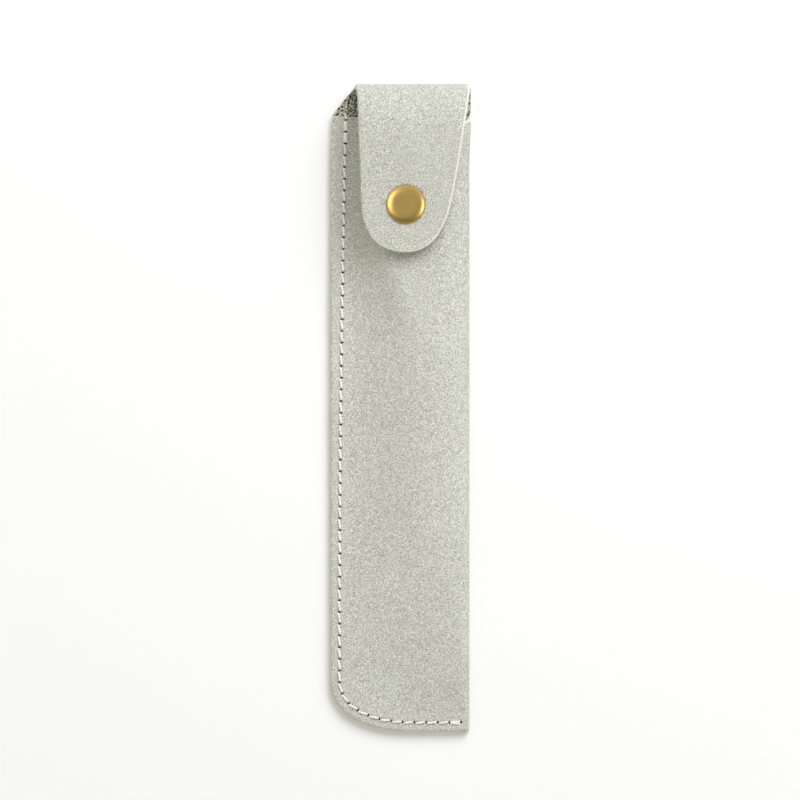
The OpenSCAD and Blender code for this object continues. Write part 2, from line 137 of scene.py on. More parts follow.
@dataclass
class Sleeve:
    """The pattern's sizes and the shape of the closed sleeve, as the CAD part has them."""

    width: float = 35.4 * MM
    length: float = 165 * MM
    pocket_h: float = 7.2 * MM
    taper: float = 110 * MM
    taper_power: float = 2.5
    rise_w: float = 10 * MM
    crown_w: float = 1 * MM
    seat_run: float = 36 * MM
    mouth_drop: float = 8 * MM
    mouth_slant: float = 1.8 * MM
    corner_w: float = 21.7 * MM
    corner_h: float = 13.3 * MM
    corner_power: float = 2.3
    skin: float = 0.9 * MM
    backing: float = 0.4 * MM
    stitch_inset: float = 2.2 * MM
    stitch_drift: float = 1.7 * MM
    drift_start: float = 7 * MM
    stitch_length: float = 3 * MM
    seam_land: float = 0.9 * MM
    flap_length: float = 43 * MM
    flap_side: float = 6.9 * MM
    flap_flare: float = 0.6 * MM
    mouth_flare: float = 0.33 * MM
    crest_trim: float = 0.5 * MM
    crest_run: float = 1.4 * MM
    flap_half: float = 11.4 * MM
    tip_length: float = 12.5 * MM
    bend_r: float = 5 * MM
    bend_run: float = 13 * MM
    long_angle: float = math.radians(30)
    lean: float = 0.5 * MM
    lean_run: float = 12 * MM
    chamfer_gap: float = 0.2 * MM
    snap_x: float = 19.2 * MM
    snap_inset: float = 12.3 * MM
    seat_r: float = 4.8 * MM
    flap_gap: float = 2.8 * MM

    @property
    def sheet(self) -> float:
        """The thickness of the skin with its backing."""
        return self.skin + self.backing

    @property
    def mouth(self) -> float:
        """Where the mouth is at the seam."""
        return self.length - self.mouth_drop

    @property
    def mouth_low(self) -> float:
        """Where the mouth is at the fold."""
        return self.mouth - self.mouth_slant

    @property
    def front(self) -> float:
        """The height of the front's outer face at the mouth."""
        return 2 * self.sheet + self.pocket_h

    @property
    def fold_x(self) -> float:
        """Where the fold's axis is at the mouth."""
        return self.width - self.front / 2

    @property
    def seam_w(self) -> float:
        """The width of the flat seam at the closed end."""
        return self.stitch_inset + self.seam_land

    @property
    def bend_y(self) -> float:
        """Where the bend leaves the flat back."""
        return self.length - self.bend_r

    @property
    def flap_z(self) -> float:
        """The height of the level flap's outer face."""
        return self.front + self.flap_gap + self.sheet

    @property
    def snap_y(self) -> float:
        """Where the snap's axis is along the length."""
        return self.length - self.flap_length + self.snap_inset

    def trim(self, y: Array) -> Array:
        """How far the right edge is drawn in at y, where it is rounded at the crest."""
        return self.crest_trim * ease((y - self.length + self.crest_run) / self.crest_run) ** 2

    def mouth_at(self, x: Array) -> Array:
        """Where the mouth's edge is at x."""
        return self.mouth - self.mouth_slant * np.clip(x / self.fold_x, 0, 1)

    def drift(self, y: Array) -> Array:
        """How much further in the stitch line has drifted at y."""
        start = self.corner_h + self.drift_start
        return self.stitch_drift * np.clip((y - start) / (self.mouth - start), 0, 1.1) ** 2

    def seam_x(self, y: Array) -> Array:
        """How far in from the left edge the pocket starts at y.

        Args:
            y: The place along the length.

        Returns:
            The distance.
        """
        t = np.clip((self.corner_h - y) / (self.corner_h - self.seam_w), 0, 1)
        bow = (1 - t**self.corner_power) ** (1 / self.corner_power)
        return self.corner_w - (self.corner_w - self.seam_w) * bow + self.drift(y)

    def room(self, y: Array) -> Array:
        """The inside height of the pocket at y."""
        t = np.clip((y - self.seam_w) / (self.taper - self.seam_w), 0, 1)
        return self.pocket_h * (1 - (1 - t) ** self.taper_power)

    def rise(self, y: Array) -> Array:
        """The width over which the front rises from the seam at y.

        Args:
            y: The place along the length.

        Returns:
            The width.
        """
        long = self.width - self.sheet - self.room(y) - self.crown_w - self.seam_x(y)
        seat = self.snap_y - self.seat_r
        return long + (self.rise_w - long) * ease((y - seat + self.seat_run) / self.seat_run)

    def front_z(self, x: Array, y: Array) -> Array:
        """The height of the front's outer face at a point of the plan, up to the fold."""
        share = (x - self.seam_x(y)) / np.maximum(self.rise(y), 1e-4)
        return 2 * self.sheet + self.room(y) * ease(share)

    def corner(self, inset: Array, angle: Array) -> tuple[Array, Array]:
        """A point of the rounded corner at a distance inside the cut edge.

        Args:
            inset: The distance inside the edge.
            angle: The way round the corner, from the left side at 0 to the closed end.

        Returns:
            The point's x and y in the plan.
        """
        power = 2 / self.corner_power
        across = np.clip(np.cos(angle), 0, 1) ** power
        along = np.clip(np.sin(angle), 0, 1) ** power
        return (
            self.corner_w - (self.corner_w - inset) * across,
            self.corner_h - (self.corner_h - inset) * along,
        )

    def lean_at(self, y: float) -> float:
        """How far the left edge leans in at y, towards the mouth.

        Args:
            y: The place along the length.

        Returns:
            The distance.
        """
        start = self.mouth - self.lean_run
        share = (y - start) / (self.lean_run + self.chamfer_gap)
        return self.lean * float(np.clip(share, 0, 1))

    def edge_point(self, station: float, inset: Array) -> tuple[Array, Array]:
        """A point inside the cut edge of the folded sleeve.

        Args:
            station: The length along the edge from the closed end's right corner, up the left side.
            inset: The distance inside the edge.

        Returns:
            The point's x and y in the plan.
        """
        flat = self.width - self.sheet - self.corner_w
        bow = self.corner_arc[-1]
        if station <= flat:
            return self.width - self.sheet - station + 0 * inset, inset
        if station <= flat + bow:
            angle = np.interp(station - flat, self.corner_arc, self.corner_angles)
            return self.corner(inset, np.full_like(inset, angle))
        y = self.corner_h + station - flat - bow
        settle = ease(inset / (1.4 * MM))
        return inset + self.drift(y) * settle + self.lean_at(y) * (1 - settle), y + 0 * inset

    def __post_init__(self) -> None:
        """Measures the rounded corner, so that points can be spaced evenly along it."""
        count = 200
        self.corner_angles = np.linspace(math.pi / 2, 0, count)
        x, y = self.corner(np.zeros(count), self.corner_angles)
        steps = np.hypot(np.diff(x), np.diff(y))
        self.corner_arc = np.concatenate([[0], np.cumsum(steps)])

    @property
    def flat_end(self) -> float:
        """The length along the edge to where the mouth is."""
        straight = self.width - self.sheet - self.corner_w
        return straight + self.corner_arc[-1] + self.mouth - self.corner_h


@dataclass
class Seam:
    """The lockstitch: where its needle holes are and how the thread presses the leather."""

    sleeve: Sleeve
    first_gap: float = 1.2 * MM
    last_gap: float = 2.1 * MM
    groove_depth: float = 0.17 * MM
    groove_width: float = 0.36 * MM
    hole_depth: float = 0.62 * MM
    hole_r: float = 0.31 * MM
    hole_lip: float = 0.2 * MM
    dimple_depth: float = 0.12 * MM
    dimple_width: float = 0.5 * MM
    pucker: float = 0.1 * MM
    pucker_in: float = 0.75 * MM
    pucker_back: float = 0.25 * MM
    pucker_width: float = 0.3 * MM
    # The slots round the holes whose faces take painted shade:
    slot_lean: tuple[float, float] = (0.9, -0.44)
    slot_shift: float = 0.1 * MM
    slot_long: float = 0.46 * MM
    slot_short: float = 0.25 * MM
    side_reach: float = 6.5 * MM
    end_reach: float = 5 * MM
    batch: int = 4000

    def __post_init__(self) -> None:
        """Spaces the needle holes evenly along the stitch line."""
        s, count = self.sleeve, 120
        side_y = np.linspace(s.mouth - self.first_gap, s.corner_h, count)
        side = [(s.stitch_inset + s.drift(y), y) for y in side_y]
        angles = np.linspace(0, math.pi / 2, count)
        cx, cy = s.corner(np.full(count, s.stitch_inset), angles)
        end = [(s.width - self.last_gap, s.stitch_inset)]
        self.line = np.array(side + list(zip(cx, cy))[1:] + end)
        steps = np.hypot(*np.diff(self.line, axis=0).T)
        self.run = np.concatenate([[0], np.cumsum(steps)])
        self.count = round(self.run[-1] / s.stitch_length)
        self.holes = np.array([self.at(k / self.count) for k in range(self.count + 1)])

    def at(self, share: float) -> Array:
        """The point of the stitch line at a share of its length."""
        d = share * self.run[-1]
        return np.array([np.interp(d, self.run, self.line[:, i]) for i in (0, 1)])

    def axes(self, k: int) -> tuple[Array, Array]:
        """The seam's heading at a hole, and the way in from the cut edge.

        Args:
            k: The hole's number.

        Returns:
            The heading and the way in, both of length 1.
        """
        tangent = self.holes[min(k + 1, self.count)] - self.holes[max(k - 1, 0)]
        tangent = tangent / np.hypot(*tangent)
        return tangent, np.array([-tangent[1], tangent[0]])

    def in_hole_shade(self, points: Array) -> Array:
        """Which points lie in the short slots that the needle has cut, which take painted shade.

        Args:
            points: Points of the plan, one a row.

        Returns:
            A truth value for each point.
        """
        inside = np.zeros(len(points), dtype=bool)
        for k, hole in enumerate(self.holes):
            tangent, inward = self.axes(k)
            way = self.slot_lean[0] * inward + self.slot_lean[1] * tangent
            side = np.array([-way[1], way[0]])
            offset = points - hole - self.slot_shift * way
            along, across = offset @ way / self.slot_long, offset @ side / self.slot_short
            inside |= np.hypot(along, across) < 1
        return inside

    def relief(self, x: Array, y: Array) -> Array:
        """How far the leather lies above its plain face, from the pull of the stitches.

        Args:
            x: Distances from the left edge.
            y: Distances from the closed end.

        Returns:
            Heights, negative where the thread and the needle pressed the leather in.
        """
        shape = x.shape
        points = np.stack([x.ravel(), y.ravel()], axis=1)
        out = np.zeros(len(points))
        s = self.sleeve
        near = np.flatnonzero(
            (points[:, 0] < self.side_reach)
            | (points[:, 1] < self.end_reach)
            | ((points[:, 0] < s.corner_w) & (points[:, 1] < s.corner_h))
        )
        for part in np.array_split(near, max(1, len(near) // self.batch)):
            out[part] = self.pressed(points[part])
        return out.reshape(shape)

    def pressed(self, p: Array) -> Array:
        """The relief at a batch of points: a groove under the thread, pits and small puckers.

        Args:
            p: Points of the plan near the seam, one a row.

        Returns:
            The height of each point over the plain face.
        """
        to_line = np.full(len(p), 1.0)
        to_hole = np.full(len(p), 1.0)
        ridge = np.zeros(len(p))
        for a, b in zip(self.holes[:-1], self.holes[1:]):
            along = b - a
            t = np.clip((p - a) @ along / (along @ along), 0, 1)
            to_line = np.minimum(to_line, np.hypot(*(p - a - t[:, None] * along).T))
        for k, hole in enumerate(self.holes):
            to_hole = np.minimum(to_hole, np.hypot(*(p - hole).T))
            tangent, inward = self.axes(k)
            offset = p - (hole + self.pucker_in * inward - self.pucker_back * tangent)
            reach = offset @ inward / self.pucker_in
            spread = offset @ tangent / self.pucker_width
            ridge += np.exp(-(reach**2) - spread**2)
        pit = 1 - ease((to_hole - self.hole_r + self.hole_lip) / self.hole_lip)
        return (
            -self.groove_depth * bump(to_line, self.groove_width)
            - self.hole_depth * pit
            - self.dimple_depth * bump(to_hole, self.dimple_width)
            + self.pucker * np.clip(ridge, 0, 1)
        )


@dataclass
class MeshMaker:
    """Collects grids of points as faces of one mesh and welds them where they meet."""

    sleeve: Sleeve
    points: list[Array] = field(default_factory=list)
    faces: list[tuple[int, ...]] = field(default_factory=list)
    slots: list[int] = field(default_factory=list)

    def grid(
        self,
        rows: Array,
        flip: bool = False,
        column_slots: list[int] | None = None,
        closed: bool = False,
        last_rows: int = 0,
    ) -> None:
        """Adds a sheet of quads through rows of points.

        Args:
            rows: An array of rows by columns by 3, in the pattern's plan.
            flip: Whether the sheet faces the other way.
            column_slots: The material of each column of faces, or None for the first.
            closed: Whether the last column joins the first.
            last_rows: How many rows of faces at the end take the second material.
        """
        count, across = rows.shape[:2]
        base = sum(len(p) for p in self.points)
        self.points.append(rows.reshape(-1, 3))
        for i in range(count - 1):
            for j in range(across if closed else across - 1):
                k = (j + 1) % across
                a, b = base + i * across + j, base + i * across + k
                c, d = base + (i + 1) * across + k, base + (i + 1) * across + j
                self.faces.append((a, d, c, b) if flip else (a, b, c, d))
                rim = 1 if i >= count - 1 - last_rows else 0
                self.slots.append(column_slots[j] if column_slots else rim)

    def strip(self, rows: Array, flip: bool) -> None:
        """Adds the seam's strip, whose last two columns are the cut edge and take its material."""
        self.grid(rows, flip=flip, column_slots=[0] * (rows.shape[1] - 3) + [1] * 2)

    def paint_hole_shade(self, seam: Seam, slot: int) -> None:
        """Gives the front's faces inside the needle holes a near-black material of their own, as
        painted shade.

        Args:
            seam: The seam with the holes.
            slot: The material's slot.
        """
        co = np.concatenate(self.points)
        near = np.array([np.mean(co[list(face), :2], axis=0) for face in self.faces])
        z = np.array([co[face[0], 2] for face in self.faces])
        on_front = z > 2 * self.sleeve.backing + self.sleeve.skin
        for k in np.flatnonzero(seam.in_hole_shade(near) & on_front):
            self.slots[k] = slot

    def build(self, name: str, materials: list[Material], weld: float = 2e-6) -> Object:
        """Makes the object, welded, smooth and moved to the frame's origin.

        Args:
            name: The piece's name.
            materials: Its materials, by slot.
            weld: The distance within which points are joined.

        Returns:
            The finished object.
        """
        co = np.concatenate(self.points)
        co = co - np.array([self.sleeve.width / 2, self.sleeve.length / 2, 0])
        mesh = bpy.data.meshes.new(name)
        mesh.from_pydata(co.tolist(), [], self.faces)
        mesh.polygons.foreach_set("material_index", self.slots)
        for material in materials:
            mesh.materials.append(material)
        bm = bmesh.new()
        bm.from_mesh(mesh)
        bmesh.ops.remove_doubles(bm, verts=bm.verts, dist=weld)
        bmesh.ops.dissolve_degenerate(bm, edges=bm.edges, dist=weld / 2)
        for face in bm.faces:
            face.smooth = True
        bm.to_mesh(mesh)
        bm.free()
        piece = bpy.data.objects.new(name, mesh)
        bpy.context.scene.collection.objects.link(piece)
        return piece


@dataclass(frozen=True)
class Layer:
    """One layer of the sheet: how deep its face lies, and the steps of its cut edge outwards.

    Its face lies on the outside or the inside of the sleeve. The insets and the depths are in
    millimetres, and the seam's lines of points, also in millimetres, are counted from the stitch
    line inwards.
    """

    name: str
    face_depth: float
    insets: tuple[float, ...]
    depths: tuple[float, ...]
    seam_lines: tuple[float, ...]
    columns: int
    outward: bool
    step: float = 1.2 * MM

    @property
    def edge_insets(self) -> Array:
        """How far in from the cut each line of points lies, in metres."""
        return np.array(self.insets) * MM

    @property
    def edge_depths(self) -> Array:
        """How deep each line of points lies, in metres."""
        return np.array(self.depths) * MM


SKIN = Layer(
    name="skin",
    face_depth=0.0,
    insets=(0.6, 0.44, 0.28, 0.14, 0.04, 0.0, 0.0),
    depths=(0.0, 0.03, 0.09, 0.19, 0.32, 0.46, 0.9),
    seam_lines=(
        0.9, 0.74, 0.6, 0.48, 0.37, 0.27, 0.18, 0.09, 0, -0.09, -0.18, -0.27, -0.37, -0.48,
    ),
    columns=32,
    outward=True,
)
BACKING = Layer(
    name="backing",
    face_depth=1.29 * MM,
    insets=(0.5, 0.2, 0.07, 0.03, 0.03),
    depths=(1.29, 1.29, 1.26, 1.19, 0.9),
    seam_lines=(0.9, 0.4, 0, -0.4),
    columns=24,
    outward=False,
)


@dataclass
class Blank:
    """The folded blank, which maps the pattern's plan to the closed sleeve at any depth."""

    sleeve: Sleeve
    seam: Seam
    wave: float = 0.05 * MM
    wave_fade: tuple[float, float] = (5 * MM, 4 * MM)
    relief_depth: float = 0.4 * MM
    back_share: float = 0.6
    flare_start: float = 9 * MM
    flare_run: float = 8 * MM
    lip_start: float = 0.75
    lip_run: float = 9 * MM
    notch_turn: float = 1.3
    notch_rise: float = 1.1 * MM
    relax_run: float = 2.6 * MM
    widening: float = 3.5

    def lift(self, x: Array, y: Array, depth: Array, face: Face) -> Array:
        """How far the face stands off its plain shape, where the layer's face lies outermost.

        Args:
            x: Distances from the left edge.
            y: Distances from the closed end.
            depth: The points' depths in the sheet.
            face: Whether they are on the front or the back.

        Returns:
            Heights over the plain face, which fade inside the sheet.
        """
        outer = np.clip(1 - depth / self.relief_depth, 0, 1)
        if face is Face.BACK:
            return self.back_share * np.minimum(self.seam.relief(x, y), 0) * outer
        s = self.sleeve
        inside = ease((x - s.seam_x(y)) / self.wave_fade[0])
        inside = inside * ease((s.width - s.sheet - s.room(y) - x) / self.wave_fade[1])
        return (self.seam.relief(x, y) + self.wave * self.ripple(x, y) * inside) * outer

    @staticmethod
    def ripple(x: Array, y: Array) -> Array:
        """Slight waves of the front, a few centimetres long and of about height 1.

        Args:
            x: Distances from the left edge.
            y: Distances from the closed end.

        Returns:
            The height of the waves at each point.
        """
        u, v = x / MM, y / MM
        short = np.sin(u / 4.7 + 1.3 * np.sin(v / 23)) * np.sin(v / 11.0 + 0.7)
        return short + 0.7 * np.sin(u / 7.9 - v / 31 + 2.1)

    def flared(self, x: Array, y: Array) -> Array:
        """The x of points of the folded side, which spreads a little at the mouth.

        Args:
            x: The points' x without the spread.
            y: The place along the length.

        Returns:
            The x with the spread.
        """
        s = self.sleeve
        across = ease((x - s.fold_x) / (s.width - s.fold_x))
        near = ease((y - s.mouth_low + self.flare_start) / self.flare_run)
        return x + across * (s.mouth_flare * near - s.trim(y))

    def front(self, x: Array, y: Array, depth: Array) -> Array:
        """Points of the front panel at a depth under its outer face.

        Args:
            x: Distances from the left edge.
            y: Distances from the closed end.
            depth: Depths under the outer face.

        Returns:
            The points.
        """
        s, h = self.sleeve, 0.05 * MM
        z = s.front_z(x, y)
        gx = (s.front_z(x + h, y) - s.front_z(x - h, y)) / (2 * h)
        gy = (s.front_z(x, y + h) - s.front_z(x, y - h)) / (2 * h)
        crown = x > s.width - s.sheet - s.room(y) - 2 * h
        gx = np.where(crown, 0, gx)
        drop = (self.lift(x, y, depth, Face.FRONT) - depth) / np.sqrt(1 + gx * gx + gy * gy)
        return np.stack([x - gx * drop, y - gy * drop, z + drop], axis=-1)

    def back(self, x: Array, y: Array, depth: Array) -> Array:
        """Points of the flat back panel at a depth inside its outer face."""
        return np.stack([x, y, depth - self.lift(x, y, depth, Face.BACK)], axis=-1)

    def fold(self, y: Array, angle: Array, depth: Array) -> Array:
        """Points of the folded side, at angles from the front's crown round to the back.

        Args:
            y: Distances from the closed end.
            angle: Angles from the crown, up to half a turn.
            depth: Depths inside the outer face.

        Returns:
            The points.
        """
        s = self.sleeve
        w, t = s.sheet + s.room(y), s.sheet + s.room(y) / 2
        upper = angle <= math.pi / 2
        reach = np.where(upper, w, t)
        nx, nz = np.sin(angle) / reach, np.cos(angle) / t
        size = np.sqrt(nx * nx + nz * nz)
        x = s.width - reach + reach * np.sin(angle)
        z = t + t * np.cos(angle) - depth * nz / size
        return np.stack([self.flared(x - depth * nx / size, y), y, z], axis=-1)

    def curl(self, y: Array, share: Array, depth: Array) -> Array:
        """Points right of the fold's axis above the mouth, where the fold uncurls to flat.

        Args:
            y: Distances from the closed end.
            share: Shares of the way from the fold's axis to the edge.
            depth: Depths inside the outer face.

        Returns:
            The points.
        """
        s = self.sleeve
        r0 = s.width - s.fold_x
        start = s.mouth_low + self.notch_rise
        t = np.clip((y - start) / min(self.relax_run, s.bend_y - start), 0, 1)
        a = np.maximum(self.notch_turn * (1 - t) ** 2, 1e-3)
        first = math.sin(self.notch_turn)
        r = r0 * (first + (1 - first) * ease(self.widening * t)) / np.sin(a)
        x = self.flared(s.fold_x + (r - depth) * np.sin(a * share), y)
        return np.stack([x, y, r - (r - depth) * np.cos(a * share)], axis=-1)

    def lip(self, angle: Array) -> Array:
        """Where the mouth's edge is on the fold, which climbs round it into the notch."""
        share = (angle - self.lip_start) / (math.pi - self.notch_turn - self.lip_start)
        return self.sleeve.mouth_low + self.notch_rise * ease(share)

    def left_at(self, y: float) -> float:
        """Where the back's left edge is at y, with its lean and its chamfer.

        Args:
            y: The place along the length.

        Returns:
            The edge's x.
        """
        s = self.sleeve
        turn = s.mouth + s.chamfer_gap
        chamfer = s.flap_side - s.flap_flare - s.lean
        return s.lean_at(y) + chamfer * float(np.clip((y - turn) / (s.length - turn), 0, 1))


@dataclass
class SleevePiece:
    """One layer of the sleeve and of the lower half of the bend, as one welded mesh."""

    blank: Blank
    layer: Layer
    turn_steps: int = 16
    back_rows: int = 16
    bend_rows: int = 14
    stitch_rows: int = 14
    gather: float = 0.115
    strip_stop: float = 0.7 * MM
    margin_lines: tuple[float, ...] = (1.5, 1.2, 0.95, 0.7)
    slant_power: int = 12
    edge_settle: float = 0.8 * MM

    def seam_insets(self) -> tuple[Array, Array]:
        """The insets and depths of the seam's lines of points, from the pocket outwards.

        Returns:
            The insets from the cut edge, and the depths.
        """
        s, layer = self.blank.sleeve, self.layer
        around = np.array(layer.seam_lines) * MM + s.stitch_inset
        flat = np.concatenate([around, np.array(self.margin_lines) * MM])
        insets = np.concatenate([flat, layer.edge_insets])
        depths = np.concatenate([np.full_like(flat, layer.face_depth), layer.edge_depths])
        return insets, depths

    def stations(self, end: float) -> Array:
        """Lengths along the cut edge, gathered at the needle holes on the skin's outer face.

        Args:
            end: The last length.

        Returns:
            The lengths, from the closed end up the left side.
        """
        if not self.layer.outward:
            return np.linspace(0, end, round(end / self.layer.step))
        s, seam = self.blank.sleeve, self.blank.seam
        fine = np.linspace(0, end, 6000)
        inset = np.array([s.stitch_inset])
        line = np.array([np.concatenate(s.edge_point(d, inset)) for d in fine])
        marks = [fine[np.argmin(np.hypot(*(line - hole).T))] for hole in seam.holes[::-1]]
        marks = [0.0] + [m for m in marks if 1 * MM < m < end - 0.5 * MM] + [end]
        t = np.linspace(0, 1, self.stitch_rows + 1)[:-1]
        t = t - self.gather * np.sin(2 * math.pi * t)
        return np.concatenate([a + (b - a) * t for a, b in zip(marks[:-1], marks[1:])] + [[end]])

    def slanted(self, x: Array, y: Array) -> Array:
        """The y of points whose rows lean over to follow the slanted mouth."""
        s = self.blank.sleeve
        return y + (s.mouth_at(x) - s.mouth) * np.clip(y / s.mouth, 0, 1) ** self.slant_power

    def strip(self, end: float) -> tuple[Array, Array, Array]:
        """The plan of the seam's strip along the cut edge, as x, y and depth.

        Args:
            end: The length along the edge at which it stops.

        Returns:
            The x, the y and the depth of its points, row by row.
        """
        insets, depths = self.seam_insets()
        s = self.blank.sleeve
        points = [s.edge_point(station, insets) for station in self.stations(end)]
        x, y = np.array([p[0] for p in points]), np.array([p[1] for p in points])
        return x, y, np.broadcast_to(depths, x.shape)

    def panel(self, x: Array, y: Array, fold: Array, crown_y: Array) -> tuple[Array, Array]:
        """The plan of the panel inside the strip, spanned between its four sides.

        Args:
            x: The x of the strip's innermost line of points.
            y: The y of that line.
            fold: Where the fold starts at each row.
            crown_y: The y of each row's right end.

        Returns:
            The x and y of the panel's points, row by row.
        """
        half = self.half(x, y)
        left = np.stack([x[half:], y[half:]], axis=1)
        picks = np.unique(np.linspace(0, half, self.layer.columns).round().astype(int))[::-1]
        low = np.stack([x[picks], y[picks]], axis=1)
        right = np.stack([fold, crown_y], axis=1)
        p = np.linspace(0, 1, len(low))[None, :, None]
        q = np.linspace(0, 1, len(left))[:, None, None]
        top = left[-1] + (right[-1] - left[-1]) * p[0]
        grid = (1 - p) * left[:, None] + p * right[:, None] + (1 - q) * low[None] + q * top[None]
        grid = grid - (1 - p) * (1 - q) * low[0] - p * (1 - q) * low[-1]
        grid = grid - (1 - p) * q * left[-1] - p * q * right[-1]
        return grid[..., 0], grid[..., 1]

    def half(self, x: Array, y: Array) -> int:
        """The middle of the rounded corner on the strip's innermost line of points.

        Args:
            x: The x of that line of points.
            y: The y of that line of points.

        Returns:
            The number of the middle's point.
        """
        s = self.blank.sleeve
        middle = s.corner(np.array(s.seam_w), np.array(math.pi / 4))
        return int(np.argmin(np.hypot(x - middle[0], y - middle[1])))

    def rims(self, x: Array, y: Array, depth: Array) -> tuple[Array, Array, Array]:
        """Adds the rows that roll over the mouth's cut edge after the last row of a patch.

        Args:
            x: The patch's x, row by row.
            y: The patch's y.
            depth: The patch's depths.

        Returns:
            The same three with the new rows added.
        """
        s, layer = self.blank.sleeve, self.layer
        rows_x = [x[-1]] * len(layer.insets)
        rows_y = [s.mouth_at(x[-1]) - inset for inset in layer.edge_insets]
        if layer.outward:
            rows_d = [np.maximum(depth[-1], d) for d in layer.edge_depths]
        else:
            rows_d = [np.minimum(depth[-1], d) for d in layer.edge_depths]
        return (
            np.concatenate([x, rows_x]),
            np.concatenate([y, rows_y]),
            np.concatenate([depth, rows_d]),
        )

    def build(self, materials: list[Material]) -> Object:
        """Makes the layer: front, fold, back, and the lower half of the bend.

        Args:
            materials: The materials of its face and of its cut edge.

        Returns:
            The welded piece.
        """
        blank, layer, s = self.blank, self.layer, self.blank.sleeve
        maker, out = MeshMaker(s), layer.outward
        strip_x, strip_y, strip_d = self.strip(s.flat_end - self.strip_stop)
        half = self.half(strip_x[:, 0], strip_y[:, 0])
        left_y = strip_y[half:, 0]
        t = (left_y - left_y[0]) / (left_y[-1] - left_y[0])
        crown_y = left_y - (left_y[0] - s.seam_w) * (1 - t)

        x, y, d = self.rims(strip_x, self.slanted(strip_x, strip_y), strip_d)
        maker.strip(blank.front(x, y, d), flip=out)
        fold_x = s.width - s.sheet - s.room(crown_y)
        x, y = self.panel(strip_x[:, 0], strip_y[:, 0], fold_x, crown_y)
        x, y, d = self.rims(x, self.slanted(x, y), np.full_like(x, layer.face_depth))
        maker.grid(blank.front(x, y, d), flip=not out)

        insets, depths = self.seam_insets()
        notch = math.pi - blank.notch_turn
        rows_y = np.concatenate([insets[::-1][:-1], crown_y])
        rows_y = self.slanted(np.full_like(rows_y, s.fold_x), rows_y)[:, None]
        crown_d = np.full_like(crown_y, layer.face_depth)
        rows_d = np.concatenate([depths[::-1][:-1], crown_d])[:, None]
        upper = np.linspace(0, notch, self.turn_steps)[None, :]
        climb = (rows_y - s.mouth_low + blank.lip_run) / (blank.lip_run - self.strip_stop)
        reach = (blank.lip(upper) - s.mouth_low) * np.clip(climb, 0, 1)
        y, d, turn = self.fold_rims(rows_y + reach, rows_d + 0 * upper, upper)
        maker.grid(blank.fold(y, turn, d), flip=not out, last_rows=len(layer.insets) - 2)

        back_y = self.slanted(np.full_like(strip_y, s.fold_x), strip_y)
        maker.strip(blank.back(strip_x, back_y, strip_d), flip=not out)
        back_crown = self.slanted(np.full_like(crown_y, s.fold_x), crown_y)
        fold_b = s.width - s.sheet - s.room(back_crown) / 2
        x, y = self.panel(strip_x[:, 0], back_y[:, 0], fold_b, back_crown)
        maker.grid(blank.back(x, y, np.full_like(x, layer.face_depth)), flip=out)
        lower = math.pi - blank.notch_turn * np.concatenate([[0], self.turn_shares()])[None, :]
        y = rows_y + 0 * lower
        maker.grid(blank.fold(y, lower + 0 * y, rows_d + 0 * lower), flip=out)

        self.add_tab(maker, strip_x[-1], x[-1], float(back_y[-1, 0]))
        # Painted shade: the needle holes on the outer face take the near-black hole material.
        if layer.outward:
            maker.paint_hole_shade(blank.seam, slot=2)
        return maker.build(f"sleeve_{layer.name}", materials)

    def turn_shares(self) -> Array:
        """The columns right of the fold's axis, as shares of the way to the notch's edge.

        Returns:
            The shares, from just right of the axis to the edge.
        """
        s, layer = self.blank.sleeve, self.layer
        shares = np.linspace(0, 1, self.turn_steps)[1:-1]
        edge = 1 - layer.edge_insets / (s.width - s.fold_x)
        return np.concatenate([shares[shares < edge[0] - 0.02], edge])

    def fold_rims(self, y: Array, depth: Array, angles: Array) -> tuple[Array, Array, Array]:
        """Adds the rows that roll over the mouth's cut edge on the upper part of the fold.

        Args:
            y: The fold's y, row by row.
            depth: The fold's depths.
            angles: The angle of each column.

        Returns:
            The y and the depths with the new rows added, and the angle of each point.
        """
        layer, lip = self.layer, self.blank.lip(angles)
        rows_y = [(lip - inset)[0] for inset in layer.edge_insets]
        rows_d = [np.full(angles.shape[1], d) for d in layer.edge_depths]
        y = np.concatenate([y, rows_y])
        depth = np.concatenate([depth, rows_d])
        return y, depth, angles + 0 * y

    def add_tab(self, maker: MeshMaker, strip_x: Array, panel_x: Array, start: float) -> None:
        """Adds the back above the mouth and the lower half of the bend up to the crest.

        Args:
            maker: The mesh that it is added to.
            strip_x: The x of the seam's lines of points at the mouth.
            panel_x: The x of the panel's columns at the mouth.
            start: Where it starts along the length.
        """
        layer, s = self.layer, self.blank.sleeve
        insets, depths = self.seam_insets()
        flat_x = np.concatenate([strip_x[::-1], panel_x[1:]])
        flat_d = np.concatenate([depths[::-1], np.full(len(panel_x) - 1, layer.face_depth)])
        turn = self.turn_shares()
        plain = np.full(len(turn) - len(layer.insets), layer.face_depth)
        turn_d = np.concatenate([plain, layer.edge_depths])
        sides = (flat_x, flat_d, turn, turn_d, start)
        rows = [self.tab_row(y, None, *sides) for y in np.linspace(start, s.bend_y, self.back_rows)]
        for a in np.linspace(0, math.pi / 2, self.bend_rows)[1:]:
            rows.append(self.tab_row(s.bend_y + s.bend_r * math.sin(a), a, *sides))
        right_rim = len(layer.insets) - 3
        colours = [1] * 2 + [0] * (len(flat_x) + len(turn) - 3 - right_rim) + [1] * right_rim
        if layer.outward:
            colours[-1] = 3
        maker.grid(np.array(rows), flip=layer.outward, column_slots=colours)

